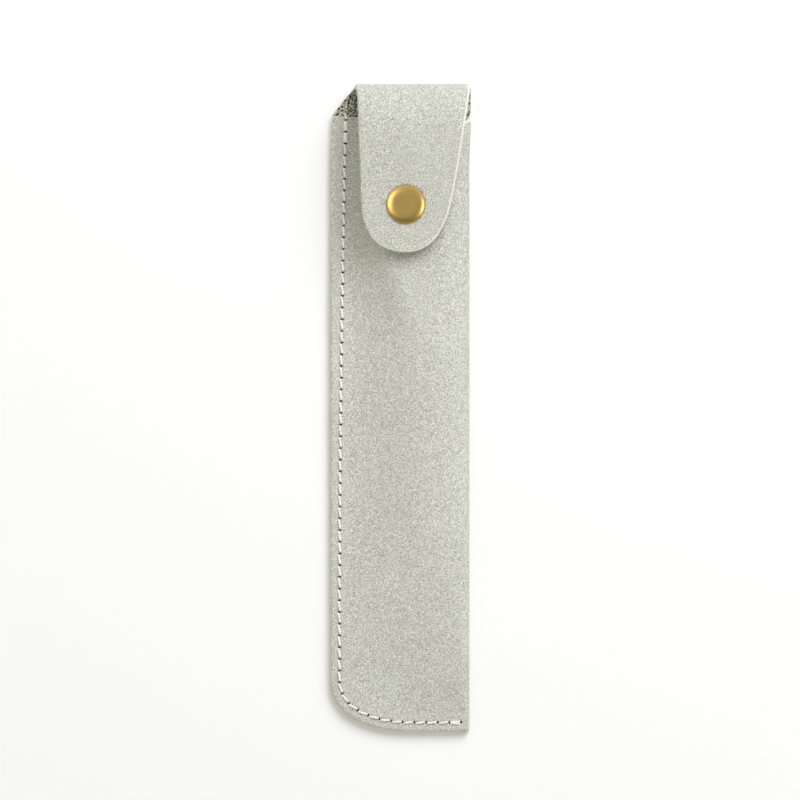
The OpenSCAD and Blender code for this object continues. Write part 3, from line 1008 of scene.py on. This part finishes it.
    def tab_row(
        self,
        y: float,
        arc: float | None,
        flat_x: Array,
        flat_d: Array,
        turn: Array,
        turn_d: Array,
        start: float,
    ) -> Array:
        """One row of points across the back above the mouth, or across the bend.

        Args:
            y: Where the row is along the length, in the plan.
            arc: The row's heading on the bend, or None below it.
            flat_x: Where the columns left of the fold's axis start from, at the mouth.
            flat_d: Their depths.
            turn: The shares of the width right of the fold's axis.
            turn_d: Their depths.
            start: The first row's place along the length.

        Returns:
            The row's points.
        """
        blank, s = self.blank, self.blank.sleeve
        left0, left = blank.left_at(start), blank.left_at(y)
        x = left + (flat_x - left0) * (s.fold_x - left) / (s.fold_x - left0)
        if arc is None:
            flat = blank.back(x, np.full_like(x, y), flat_d)
            settle = ease(np.array((y - start) / self.edge_settle))
            fall = self.layer.face_depth + (turn_d - self.layer.face_depth) * settle
            curl = blank.curl(np.full_like(turn, y), turn, fall)
            return np.concatenate([flat, curl])
        x = blank.flared(np.concatenate([x, s.fold_x + (s.width - s.fold_x) * turn]), y)
        depth = np.concatenate([flat_d, turn_d])
        r = s.bend_r - depth
        return np.stack([x, s.bend_y + r * math.sin(arc), s.bend_r - r * math.cos(arc)], axis=-1)


@dataclass
class Flap:
    """The flap's outline and side view, from the crest of the bend to the rounded tip."""

    sleeve: Sleeve
    edge_taper: float = 0.2
    shoulder_out: float = 0.5 * MM
    shoulder_up: float = 1.9 * MM
    tip_step: float = 0.1 * MM
    left_lead: tuple[float, float] = (0.2 * MM, -0.58)
    tip_lead: float = 0.67
    right_lead: float = 0.53
    side_lead: float = 9.8 * MM
    crest_lead: tuple[float, float] = (1.4 * MM, 9 * MM)
    flare_run: float = 3 * MM
    past_crest: float = 1 * MM
    crush: float = 0.1 * MM
    crush_r: float = 4.6 * MM
    crush_width: float = 1.3 * MM
    tuck: float = 0.05
    wave: float = 0.035 * MM
    wave_fade: float = 6 * MM
    relief_depth: float = 0.4 * MM

    def __post_init__(self) -> None:
        """Works out the arcs of the side view and the outline's points."""
        s = self.sleeve
        a = s.long_angle
        reach = s.bend_run / math.sin(a)
        spare = s.flap_z - s.bend_r - (1 - math.cos(a)) * reach
        self.upper_r = spare / (2 * math.cos(a) - 1)
        self.long_r = reach - self.upper_r
        self.level_y = s.length - s.bend_run
        tip_y = s.length - s.flap_length
        left = np.array([s.snap_x - s.flap_half, tip_y + s.tip_length])
        right = np.array(
            [s.snap_x + s.flap_half + self.shoulder_out, left[1] + self.shoulder_up]
        )
        tip = np.array([s.snap_x + self.tip_step, tip_y])
        along = np.array([self.edge_taper, 1.0])
        top = np.array([s.width + s.mouth_flare, s.length])
        across = np.array([self.tip_lead * s.flap_half, 0])
        down = np.array([self.left_lead[0], self.left_lead[1] * s.tip_length])
        up = self.right_lead * s.tip_length * along
        self.outline = np.concatenate(
            [
                self.flare(),
                bezier(left, left + down, tip - across, tip, 60),
                bezier(tip, tip + across, right - up, right, 60),
                bezier(right, right + self.side_lead * along, top - self.crest_lead, top, 40),
                [top + [0, self.past_crest]],
            ]
        )
        right_side = self.outline[:, 0] > s.snap_x
        self.outline[:, 0] -= right_side * s.trim(self.outline[:, 1])

    def flare(self) -> list[list[float]]:
        """The left edge next to the crest, where it spreads to meet the chamfer.

        Returns:
            The points of that edge, from past the crest downwards.
        """
        s = self.sleeve
        run = self.flare_run
        steps = ((1, -self.past_crest), (1, 0), (0.45, 0.35 * run), (0.08, run))
        return [[s.flap_side - share * s.flap_flare, s.length - down] for share, down in steps]

    def sides(self, y: float) -> tuple[float, float]:
        """The left and the right edge at y, above the rounded tip.

        Args:
            y: The place along the length.

        Returns:
            The x of the left edge and of the right edge.
        """
        tip = int(np.argmin(self.outline[:, 1]))
        left, right = self.outline[:tip][::-1], self.outline[tip:]
        return (
            float(np.interp(y, left[:, 1], left[:, 0])),
            float(np.interp(y, right[:, 1], right[:, 0])),
        )

    def ray(self, angle: float) -> Array:
        """Where a ray from the snap's axis meets the outline.

        Args:
            angle: The ray's angle from +X.

        Returns:
            The point in the plan.
        """
        s = self.sleeve
        way = np.array([math.cos(angle), math.sin(angle)])
        a = self.outline[:-1] - [s.snap_x, s.snap_y]
        step = np.diff(self.outline, axis=0)
        cross = way[0] * step[:, 1] - way[1] * step[:, 0]
        t = (a[:, 0] * step[:, 1] - a[:, 1] * step[:, 0]) / cross
        u = (a[:, 0] * way[1] - a[:, 1] * way[0]) / cross
        hit = t[(u >= 0) & (u <= 1) & (t > 0)].min()
        return np.array([s.snap_x, s.snap_y]) + hit * way

    def rows(self) -> list[tuple[float, float, float, float]]:
        """Rows from the crest to the snap, as y, z and the outward normal in side view.

        Returns:
            The rows, from the crest to the snap.
        """
        s = self.sleeve
        out = []
        for a in (math.pi / 2 - self.tuck, math.pi / 2 - self.tuck / 2):
            ny, nz = math.sin(a), -math.cos(a)
            out.append((s.bend_y + s.bend_r * ny, s.bend_r * (1 + nz), ny, nz))
        for a in np.linspace(math.pi / 2, math.pi - s.long_angle, 16)[:-1]:
            ny, nz = math.sin(a), -math.cos(a)
            out.append((s.length - self.upper_r * (1 - ny), s.bend_r + self.upper_r * nz, ny, nz))
        for a in np.linspace(math.pi - s.long_angle, math.pi, 20)[:-1]:
            ny, nz = math.sin(a), -math.cos(a)
            out.append((self.level_y + self.long_r * ny, s.flap_z - self.long_r * (1 - nz), ny, nz))
        for y in np.linspace(self.level_y, s.snap_y, 30):
            out.append((float(y), s.flap_z, 0.0, 1.0))
        return out

    def lift(self, x: Array, y: Array, depth: Array) -> Array:
        """How far the face stands off its plain shape: pressed in round the snap, else wavy.

        Args:
            x: Distances from the left edge.
            y: Distances from the closed end.
            depth: The points' depths in the sheet.

        Returns:
            Heights over the plain face, which fade inside the sheet.
        """
        s = self.sleeve
        radius = np.hypot(x - s.snap_x, y - s.snap_y)
        press = -self.crush * bump(np.maximum(radius - self.crush_r, 0), self.crush_width)
        u, v = x / MM, y / MM
        wave = np.sin(u / 3.9 + v / 13) * np.sin(v / 6.3 + 0.4) + 0.6 * np.sin(u / 6.1 - v / 9)
        wave = wave * ease((s.length - y) / self.wave_fade)
        return (press + self.wave * wave) * np.clip(1 - depth / self.relief_depth, 0, 1)


@dataclass
class FlapPiece:
    """One layer of the flap and of the upper half of the bend, as one welded mesh."""

    flap: Flap
    layer: Layer
    tip_rays: int = 72
    left_rays: int = 16

    def build(self, materials: list[Material]) -> Object:
        """Makes the layer's face and its cut edge, from the crest round the tip and back.

        Args:
            materials: The materials of its face and of its cut edge.

        Returns:
            The welded piece.
        """
        s, layer = self.flap.sleeve, self.layer
        maker = MeshMaker(s)
        rows = self.flap.rows()
        left, right = (
            [
                self.row(np.array([self.flap.sides(r[0])[k], r[0]]), np.array([s.snap_x, r[0]]), r)
                for r in rows
            ]
            for k in (0, 1)
        )
        centre = np.array([s.snap_x, s.snap_y])
        rays = np.linspace(math.pi, 2 * math.pi, self.tip_rays)[1:-1]
        tip = [self.row(self.flap.ray(a), centre, rows[-1]) for a in rays]
        columns = len(layer.insets) + self.inner().size - 1
        for part, pale in (
            (left + tip[: self.left_rays], 1),
            (tip[self.left_rays - 1 :] + right[::-1], len(layer.insets) - 2),
        ):
            slots = [1] * pale + [0] * (columns - pale)
            maker.grid(np.array(part), flip=layer.outward, column_slots=slots)
        return maker.build(f"flap_{layer.name}", materials)

    def inner(self) -> Array:
        """Shares of the way from the bevel to the middle at which the columns lie."""
        return np.linspace(0, 1, 20 if self.layer.outward else 12)[1:]

    def row(self, edge: Array, middle: Array, side: tuple[float, float, float, float]) -> Array:
        """Points from the bottom of the cut edge over the face to the middle of the flap.

        Args:
            edge: The row's point on the outline, in the plan.
            middle: Where the row ends.
            side: The row's y, z and outward normal in side view.

        Returns:
            The row's points.
        """
        layer = self.layer
        way = middle - edge
        size = float(np.hypot(*way))
        insets = layer.edge_insets[::-1]
        reach = np.concatenate([insets, insets[-1] + (size - insets[-1]) * self.inner()])
        depth = np.concatenate(
            [layer.edge_depths[::-1], np.full(self.inner().size, layer.face_depth)]
        )
        plan = edge[None, :] + way[None, :] / size * reach[:, None]
        sink = depth - self.flap.lift(plan[:, 0], plan[:, 1], depth)
        _, z, ny, nz = side
        return np.stack([plan[:, 0], plan[:, 1] - ny * sink, z - nz * sink], axis=-1)


@dataclass
class Stitching:
    """One thread of the lockstitch: a row of short twisted stitches that dive into the holes."""

    seam: Seam
    face: Face
    ply_r: float = 0.2 * MM
    twist_r: float = 0.13 * MM
    lay: float = 1.5 * MM
    slant: float = 0.19 * MM
    crown: float = 0.22 * MM
    dive: float = 0.5 * MM
    dive_run: float = 0.5 * MM
    hole_reach: float = 0.24 * MM
    under_gap: float = 0.02 * MM
    under_share: float = 0.9
    pinch: float = 0.55
    pinch_run: float = 0.4 * MM
    tack_gap: float = 0.2 * MM
    tack_slant: float = 0.6
    tack_over: float = 1.7 * MM
    lip_gap: float = 0.1 * MM
    lip_run: float = 0.45 * MM
    sides: int = 7
    rings: int = 15

    def path(self, a: Array, b: Array, shift: float = 0.0, slant: float = 1.0) -> Array:
        """The centreline of a stitch.

        Args:
            a: The hole that it leaves.
            b: The hole that it enters.
            shift: How far it lies beside the seam's line.
            slant: How it crosses the line, as a share of the usual slant.

        Returns:
            Points in the pattern's plan.
        """
        along = (b - a) / np.hypot(*(b - a))
        across = np.array([-along[1], along[0]])
        t = np.linspace(0, 1, self.rings)
        plan = a + along * self.hole_reach + np.outer(t, b - a - 2 * self.hole_reach * along)
        plan = plan + np.outer((2 * t - 1) * self.slant * slant + shift, across)
        ends = np.minimum(t, 1 - t) * np.hypot(*(b - a)) / self.dive_run
        fall = (self.dive + self.crown) * (1 - ease(ends)) ** 1.5
        if self.face is Face.FRONT:
            return np.column_stack([plan, 2 * self.seam.sleeve.sheet + self.crown - fall])
        lowest = self.ply_r + self.twist_r + self.under_gap
        return np.column_stack([plan, lowest + self.under_share * fall])

    def over_edge(self, start: Array) -> Array:
        """The centreline of the tack that laps over the mouth's edge into the back.

        Args:
            start: The needle hole next to the mouth.

        Returns:
            Points in the pattern's plan.
        """
        s = self.seam.sleeve
        t = np.linspace(0, 1, self.rings)
        y = start[1] + self.hole_reach + t * self.tack_over
        lip = s.mouth_at(start[0]) - self.lip_gap
        low, high = s.sheet + self.lip_gap, 2 * s.sheet + self.crown
        z = high + (low - high) * ease((y - lip) / self.lip_run)
        z = z - self.dive * (1 - ease(np.minimum(t, 1 - t) * 3.2 + 0.2)) ** 1.5
        return np.column_stack([start[0] + self.slant * (1 - 2.4 * t), y, z])

    def twist(self, maker: MeshMaker, line: Array) -> None:
        """Adds two plies twisted round a centreline.

        Args:
            maker: The mesh that they are added to.
            line: The centreline.
        """
        tangent = np.gradient(line, axis=0)
        tangent /= np.linalg.norm(tangent, axis=1)[:, None]
        along = line[-1] - line[0]
        side = np.array([-along[1], along[0], 0.0]) / np.hypot(along[0], along[1])
        normal = np.cross(tangent, side)
        run = np.concatenate([[0], np.cumsum(np.linalg.norm(np.diff(line, axis=0), axis=1))])
        pull = np.minimum(run, run[-1] - run) / self.pinch_run
        pull = np.clip(pull, self.pinch, 1)[:, None]
        angle = np.linspace(0, 2 * math.pi, self.sides, endpoint=False)
        round_x, round_y = np.cos(angle)[None, :, None], np.sin(angle)[None, :, None]
        ring = round_x * side + round_y * normal[:, None]
        for start in (0.0, math.pi):
            turn = start + 2 * math.pi * run / self.lay
            offset = np.cos(turn)[:, None] * side + np.sin(turn)[:, None] * normal
            core = (line + self.twist_r * pull * offset)[:, None]
            tube = core + self.ply_r * pull[:, None] * ring
            caps = core + 0 * ring
            maker.grid(np.concatenate([caps[:1], tube, caps[-1:]]), closed=True)

    def build(self, name: str, material: Material) -> Object:
        """Makes every stitch of the thread as one mesh. The front's end stitches are doubled.

        Args:
            name: The piece's name.
            material: Its material.

        Returns:
            The finished piece.
        """
        maker = MeshMaker(self.seam.sleeve)
        holes = self.seam.holes
        tacked = (0, 1, len(holes) - 2) if self.face is Face.FRONT else ()
        for k, (a, b) in enumerate(zip(holes[:-1], holes[1:])):
            if k in tacked:
                for side in (1, -1):
                    line = self.path(a, b, side * self.tack_gap, side * self.tack_slant)
                    self.twist(maker, line)
            else:
                self.twist(maker, self.path(a, b))
        if self.face is Face.FRONT:
            self.twist(maker, self.over_edge(holes[0]))
        return maker.build(name, [material], weld=1e-7)


@dataclass
class Snap:
    """The snap's cap, turned with a flat top, a broad soft shoulder and a thin rolled rim.

    Its section runs from the middle of the top round to the underside, as radii and heights in
    millimetres.
    """

    sleeve: Sleeve
    steps: int = 96
    section: tuple[tuple[float, float], ...] = (
        (0, 1.26), (1, 1.26), (2, 1.27), (2.7, 1.28), (3.1, 1.27), (3.45, 1.24),
        (3.8, 1.18), (4.12, 1.09), (4.4, 0.97), (4.62, 0.83), (4.8, 0.66), (4.92, 0.48),
        (4.98, 0.32), (5, 0.18), (4.97, 0.08), (4.88, 0.02), (4.7, 0.0), (4.2, 0.0),
    )

    def build(self, material: Material) -> Object:
        """Makes the cap on the snap's axis.

        Args:
            material: Its material.

        Returns:
            The finished cap.
        """
        s, maker = self.sleeve, MeshMaker(self.sleeve)
        turn = np.linspace(0, 2 * math.pi, self.steps, endpoint=False)
        section = np.array(self.section) * MM
        x = s.snap_x + section[:, :1] * np.cos(turn)
        y = s.snap_y + section[:, :1] * np.sin(turn)
        z = s.flap_z + section[:, 1:] + 0 * x
        maker.grid(np.stack([x, y, z], axis=-1), closed=True, flip=True)
        return maker.build("cap_shell", [material])


class Graph:
    """A material's or a group's nodes, added and joined by name."""

    def __init__(self, tree: bpy.types.NodeTree) -> None:
        """Starts on an empty tree."""
        self.tree = tree
        tree.nodes.clear()

    def node(
        self, kind: str, inputs: dict[str | int, object] | None = None, **options: object
    ) -> Node:
        """Adds a node.

        Args:
            kind: The node's type name, without its prefix.
            inputs: Values, or sockets to link from, by input.
            **options: Attributes set on the node.

        Returns:
            The node.
        """
        made = self.tree.nodes.new("ShaderNode" + kind)
        for key, value in options.items():
            setattr(made, key, value)
        for key, value in (inputs or {}).items():
            socket = made.inputs[key]
            if isinstance(value, Socket):
                self.tree.links.new(value, socket)
            else:
                socket.default_value = value
        return made

    def noise(self, where: Socket, scale: object, detail: float, rough: float) -> Socket:
        """A noise value of a scale in cycles a metre."""
        inputs = {"Vector": where, "Scale": scale, "Detail": detail, "Roughness": rough}
        return self.node("TexNoise", inputs).outputs["Fac"]

    def span(
        self, value: Socket, low: float, high: float, to_low: float = 0.0, to_high: float = 1.0
    ) -> Socket:
        """A value mapped from one range to another, held at its ends."""
        ends = {"From Min": low, "From Max": high, "To Min": to_low, "To Max": to_high}
        return self.node("MapRange", {"Value": value, **ends}).outputs["Result"]

    def warp(self, where: Socket, scale: float, reach: float) -> Socket:
        """Places pushed about by a noise of a scale, by up to a reach in metres.

        Args:
            where: The places.
            scale: The scale of the noise, in cycles a metre.
            reach: How far a place is pushed at most.

        Returns:
            The pushed places.
        """
        push = self.node("TexNoise", {"Vector": where, "Scale": scale}).outputs["Color"]
        push = self.node("VectorMath", {0: push, 3: reach}, operation="SCALE").outputs[0]
        return self.node("VectorMath", {0: where, 1: push}, operation="ADD").outputs[0]

    def finish(self, values: dict[str, Socket]) -> None:
        """Sends values to the group's outputs by name.

        Args:
            values: The value of each output, by name.
        """
        end = self.tree.nodes.new("NodeGroupOutput")
        for key, value in values.items():
            self.tree.links.new(value, end.inputs[key])

    def sum(self, a: object, b: object, operation: str = "ADD") -> Socket:
        """Two values joined by a sum, or by another operation."""
        return self.node("Math", {0: a, 1: b}, operation=operation).outputs[0]

    def mix(self, share: object, a: object, b: object, blend: str = "MIX") -> Socket:
        """Two colours mixed.

        Args:
            share: How much of the second colour is taken.
            a: The first colour.
            b: The second colour.
            blend: How they are blended.

        Returns:
            The mixed colour.
        """
        made = self.node("Mix", data_type="RGBA", blend_type=blend)
        for key, value in ((0, share), (6, a), (7, b)):
            if isinstance(value, Socket):
                self.tree.links.new(value, made.inputs[key])
            else:
                made.inputs[key].default_value = value
        return made.outputs[2]


def light_of(value: int) -> float:
    """The light that a display value of 0 to 255 stands for."""
    v = value / 255
    return v / 12.92 if v <= 0.04045 else ((v + 0.055) / 1.055) ** 2.4


def linear(red: int, green: int, blue: int) -> Colour:
    """A colour from its display values of 0 to 255."""
    return light_of(red), light_of(green), light_of(blue), 1.0


class Effects:
    """The shader node groups that the materials share."""

    def __init__(self) -> None:
        """Builds each group once."""
        self.grain = self.make_grain()
        self.fibre = self.make_fibre()

    @staticmethod
    def group(
        name: str, inputs: dict[str, float], outputs: list[str]
    ) -> tuple[Tree, Graph, Node]:
        """Starts a group with named inputs and outputs.

        Args:
            name: The group's name.
            inputs: Each input's name and value.
            outputs: Each output's name.

        Returns:
            The group, its graph and its input node.
        """
        tree = bpy.data.node_groups.new(name, "ShaderNodeTree")
        tree.interface.new_socket("Where", in_out="INPUT", socket_type="NodeSocketVector")
        for key, value in inputs.items():
            socket = tree.interface.new_socket(key, in_out="INPUT", socket_type="NodeSocketFloat")
            socket.default_value = value
        for key in outputs:
            tree.interface.new_socket(key, in_out="OUTPUT", socket_type="NodeSocketFloat")
        graph = Graph(tree)
        return tree, graph, tree.nodes.new("NodeGroupInput")

    def make_grain(self) -> Tree:
        """Fine leather grain: pebbles a fraction of a millimetre wide between darker creases.

        Returns:
            The group, which puts out a tone and a height.
        """
        tree, graph, start = self.group(
            "grain", {"Scale": 1700.0, "Spread": 0.3}, ["Tone", "Height"]
        )
        where, scale = start.outputs["Where"], start.outputs["Scale"]
        bent = graph.warp(where, 1300.0, 0.0003)
        cells = {"Vector": bent, "Scale": scale}
        edge = graph.node("TexVoronoi", cells, feature="DISTANCE_TO_EDGE").outputs["Distance"]
        shade = graph.node("SeparateColor", {0: graph.node("TexVoronoi", cells).outputs["Color"]})
        fine = graph.noise(where, graph.sum(scale, 1.5, "MULTIPLY"), 2.0, 0.6)
        slow = graph.noise(where, 45.0, 3.0, 0.55)
        crease = graph.sum(graph.span(edge, 0, 0.13, 1, 0), start.outputs["Spread"], "MULTIPLY")
        tone = graph.span(fine, 0.34, 0.66, 0.22, 0.88)
        tone = graph.sum(tone, graph.span(slow, 0.3, 0.7, -0.03, 0.03))
        tone = graph.sum(tone, graph.span(shade.outputs[0], 0, 1, -0.07, 0.14))
        tone = graph.sum(tone, crease, "SUBTRACT")
        height = graph.sum(graph.span(edge, 0, 0.3, 0, 0.7), graph.span(fine, 0.3, 0.7, 0, 0.3))
        graph.finish({"Tone": tone, "Height": height})
        return tree

    def make_fibre(self) -> Tree:
        """Matted fibres: pale flecks over dark pits, with a height.

        Returns:
            The group, which puts out a tone and a height.
        """
        tree, graph, start = self.group(
            "fibre", {"Scale": 2600.0, "Spread": 1.0}, ["Tone", "Height"]
        )
        where, scale = start.outputs["Where"], start.outputs["Scale"]
        bent = graph.warp(where, 1500.0, 0.0005)
        tufts = graph.noise(bent, scale, 3.0, 0.8)
        wider = {"Vector": bent, "Scale": graph.sum(scale, 0.6, "MULTIPLY"), "Distortion": 2.0}
        hairs = graph.node("TexNoise", wider).outputs["Fac"]
        tone = graph.span(tufts, 0.36, 0.64, -0.5, 0.5)
        tone = graph.sum(tone, graph.span(hairs, 0.3, 0.7, -0.35, 0.35))
        tone = graph.sum(graph.sum(tone, start.outputs["Spread"], "MULTIPLY"), 0.5)
        graph.finish({"Tone": tone, "Height": graph.span(tufts, 0.3, 0.7, 0, 1)})
        return tree


@dataclass(frozen=True)
class Finish:
    """A material made of two tones that an effect mixes, with its gloss and its relief.

    The ends are painted shade: the colour darkens a little towards the closed end and the mouth.
    """

    name: str
    dark: Colour
    light: Colour
    effect: str
    scale: float
    spread: float = 0.5
    rough: tuple[float, float] = (0.6, 0.75)
    relief: float = 0.05
    metallic: float = 0.0
    sheen: float = 0.0
    specular: float = 0.5
    # Painted shade: factors that darken the colour at the closed end and at the mouth.
    ends: tuple[float, float] | None = None
    closed_shade_fade: tuple[float, float] = (-82.5 * MM, -45 * MM)
    mouth_shade_fade: tuple[float, float] = (20 * MM, 50 * MM)

    def build(self, effects: Effects) -> Material:
        """Makes the material from the shared effects.

        Args:
            effects: The node groups that it places.

        Returns:
            The material.
        """
        material = bpy.data.materials.new(self.name)
        material.use_nodes = True
        graph = Graph(material.node_tree)
        where = graph.node("TexCoord").outputs["Object"]
        group = graph.tree.nodes.new("ShaderNodeGroup")
        group.node_tree = getattr(effects, self.effect)
        graph.tree.links.new(where, group.inputs["Where"])
        group.inputs["Scale"].default_value = self.scale
        group.inputs["Spread"].default_value = self.spread
        tone = group.outputs["Tone"]
        colour = graph.mix(graph.span(tone, 0, 1), self.dark, self.light)
        # Painted shade: the colour is darkened towards the closed end and towards the mouth.
        if self.ends:
            along = graph.node("SeparateXYZ", {0: where}).outputs["Y"]
            closed = graph.span(along, *self.closed_shade_fade, self.ends[0], 1.0)
            mouth = graph.span(along, *self.mouth_shade_fade, 1.0, self.ends[1])
            fall = graph.sum(closed, mouth, "MULTIPLY")
            shade = graph.node("CombineColor", {0: fall, 1: fall, 2: fall}).outputs[0]
            colour = graph.mix(1.0, colour, shade, "MULTIPLY")
        rough = graph.span(tone, 0, 1, self.rough[1], self.rough[0])
        height = {"Height": group.outputs["Height"], "Strength": 1.0}
        relief = graph.node("Bump", {**height, "Distance": self.relief * MM})
        shader = graph.node(
            "BsdfPrincipled",
            {
                "Base Color": colour,
                "Roughness": rough,
                "Normal": relief.outputs[0],
                "Metallic": self.metallic,
                "Sheen Weight": self.sheen,
                "Specular IOR Level": self.specular,
            },
        )
        graph.node("OutputMaterial", {0: shader.outputs[0]}, is_active_output=True)
        return material


# The leather carries painted shade at its ends: darker towards the closed end and the mouth.
LEATHER = Finish(
    "pale_leather", linear(126, 127, 109), linear(248, 248, 239), "grain", 2300.0,
    spread=0.17, rough=(0.55, 0.72), relief=0.03, specular=0.3, ends=(0.955, 0.94),
)
CUT_EDGE = Finish(
    "cut_leather_edge", linear(216, 213, 198), linear(252, 249, 240), "fibre", 2600.0,
    spread=0.6, rough=(0.7, 0.85), relief=0.03, specular=0.2,
)
# Painted shade: the needle holes and their slots take this near-black colour for the dark inside
# them.
HOLE_SHADE = Finish(
    "needle_hole_shade", linear(18, 18, 12), linear(58, 56, 44), "fibre", 2600.0,
    spread=1.0, rough=(0.9, 0.98), relief=0.02, specular=0.05,
)
FELT = Finish(
    "fibre_backing", linear(12, 13, 7), linear(240, 240, 216), "fibre", 2100.0,
    spread=1.7, rough=(0.85, 0.95), relief=0.12, specular=0.1, sheen=0.1,
)
WHITE_THREAD = Finish(
    "white_thread", linear(250, 249, 243), linear(255, 255, 253), "fibre", 5200.0,
    rough=(0.5, 0.65), relief=0.012, specular=0.3,
)
BRASS_SATIN = Finish(
    "satin_brass", linear(196, 164, 92), linear(216, 184, 112), "fibre", 3200.0,
    rough=(0.32, 0.42), relief=0.004, metallic=1.0,
)


@dataclass(frozen=True)
class Lamp:
    """A square lamp that faces the sleeve. It lights it, or only shows in its metal."""

    name: str
    place: tuple[float, float, float]
    size: float
    power: float
    colour: tuple[float, float, float] = (1.0, 1.0, 1.0)
    mirrored: bool = True

    def build(self) -> None:
        """Adds the lamp to the scene."""
        data = bpy.data.lights.new(self.name, "AREA")
        data.size = self.size
        data.energy = self.power
        data.color = self.colour
        lamp = bpy.data.objects.new(self.name, data)
        lamp.location = self.place
        lamp.rotation_euler = (-Vector(self.place)).to_track_quat("-Z", "Y").to_euler()
        lamp.visible_glossy = self.mirrored
        lamp.visible_diffuse = not self.mirrored
        bpy.context.scene.collection.objects.link(lamp)


@dataclass
class Studio:
    """A pale floor, a soft key from the upper right, an even sky, and the camera straight above."""

    span: float = 203.84 * MM
    height: float = 4.0
    focus_z: float = 5 * MM
    middle_y: float = 1.97 * MM
    fill: float = 0.56
    fill_colour: Colour = (1, 1, 0.90, 1)
    overhead: float = 0.46
    behind: float = 0.26
    floor_half: float = 3.0
    floor_z: float = -0.05 * MM
    lamps: tuple[Lamp, ...] = (
        Lamp("key", (0.43, 0.8, 0.95), 0.85, 12.4, (0.975, 0.985, 1.075), mirrored=False),
        Lamp("left_glint", (-0.78, 0.2, 0.85), 0.95, 7.6),
        Lamp("right_glint", (0.95, -0.12, 0.62), 0.6, 5.9),
    )

    def build(self) -> None:
        """Sets the camera, the lamps, the world and the floor."""
        scene = bpy.context.scene
        scene.view_settings.view_transform = "Standard"
        data = bpy.data.cameras.new("camera")
        data.lens = data.sensor_width * (self.height - self.focus_z) / self.span
        camera = bpy.data.objects.new("camera", data)
        camera.location = (0, self.middle_y, self.height)
        scene.collection.objects.link(camera)
        scene.camera = camera
        for lamp in self.lamps:
            lamp.build()
        self.sky()
        self.floor()

    def sky(self) -> None:
        """An even pale sky, darker overhead where metal would mirror it."""
        world = bpy.data.worlds.new("sky")
        world.use_nodes = True
        bpy.context.scene.world = world
        graph = Graph(world.node_tree)
        path = graph.node("LightPath")
        light = graph.node("Background", {"Color": self.fill_colour, "Strength": self.fill})
        way = graph.node("SeparateXYZ", {0: graph.node("TexCoord").outputs["Generated"]})
        ceiling = graph.span(way.outputs["Z"], 0.3, 1.0, 1.0, self.overhead)
        behind = graph.span(way.outputs["Y"], -0.7, 0.2, self.behind, 1.0)
        camera, through = path.outputs["Is Camera Ray"], path.outputs["Is Transmission Ray"]
        plain = graph.sum(camera, through, "MAXIMUM")
        wall = graph.sum(graph.sum(ceiling, behind, "MULTIPLY"), plain, "MAXIMUM")
        seen = graph.node("Background", {"Color": (1, 1, 1, 1), "Strength": wall})
        direct = graph.sum(plain, path.outputs["Is Glossy Ray"], "MAXIMUM")
        mixed = graph.node("MixShader", {0: direct, 1: light.outputs[0], 2: seen.outputs[0]})
        graph.node("OutputWorld", {0: mixed.outputs[0]})

    def floor(self) -> None:
        """A wide pale floor under the sleeve, which keeps its shadow."""
        mesh = bpy.data.meshes.new("floor")
        r, z = self.floor_half, self.floor_z
        mesh.from_pydata([(-r, -r, z), (r, -r, z), (r, r, z), (-r, r, z)], [], [(0, 1, 2, 3)])
        floor = bpy.data.objects.new("floor", mesh)
        bpy.context.scene.collection.objects.link(floor)
        material = bpy.data.materials.new("pale_floor")
        material.use_nodes = True
        shader = material.node_tree.nodes["Principled BSDF"]
        shader.inputs["Base Color"].default_value = (1, 1, 1, 1)
        shader.inputs["Roughness"].default_value = 0.9
        shader.inputs["Specular IOR Level"].default_value = 0.0
        mesh.materials.append(material)


def main() -> None:
    """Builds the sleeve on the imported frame."""
    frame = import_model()
    sleeve = Sleeve()
    seam = Seam(sleeve)
    blank = Blank(sleeve, seam)
    flap = Flap(sleeve)
    effects = Effects()
    # pit is the near-black painted shade of the needle holes.
    leather, cream, pit, felt, thread, brass = (
        finish.build(effects)
        for finish in (LEATHER, CUT_EDGE, HOLE_SHADE, FELT, WHITE_THREAD, BRASS_SATIN)
    )
    Studio().build()

    skin = SleevePiece(blank, SKIN).build([leather, cream, pit, felt])
    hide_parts("wrap_leather", "bend_leather")
    lining = SleevePiece(blank, BACKING).build([felt, felt])
    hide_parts("wrap_lining", "bend_lining")
    flap_skin = FlapPiece(flap, SKIN).build([leather, cream])
    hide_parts("flap_leather")
    flap_lining = FlapPiece(flap, BACKING).build([felt, felt])
    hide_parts("flap_lining")
    for piece, slot in ((skin, Slot.LEATHER), (lining, Slot.BACKING)):
        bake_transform(piece)
    for piece, slot in ((flap_skin, Slot.LEATHER), (flap_lining, Slot.BACKING)):
        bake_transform(piece)
    for name, face, node in (
        ("upper_stitches", Face.FRONT, "needle_thread"),
        ("under_stitches", Face.BACK, "bobbin_thread"),
    ):
        piece = Stitching(seam, face).build(name, thread)
        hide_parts(node)
        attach(piece, Body.SLEEVE.value)
    cap = Snap(sleeve).build(brass)
    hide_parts("snap_cap")
    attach(cap, Body.FLAP.value)
    for node in ("snap_stud", "stud_rivet", "cap_post", "snap_socket", "socket_spring"):
        mesh = frame["nodes"][node].data
        mesh.materials.clear()
        mesh.materials.append(brass)
    for piece in bpy.context.scene.objects:
        if piece.type == "MESH":
            log.info("%s: %d points", piece.name, len(piece.data.vertices))


if __name__ == "__main__":
    logging.basicConfig(level=logging.INFO)
    main()
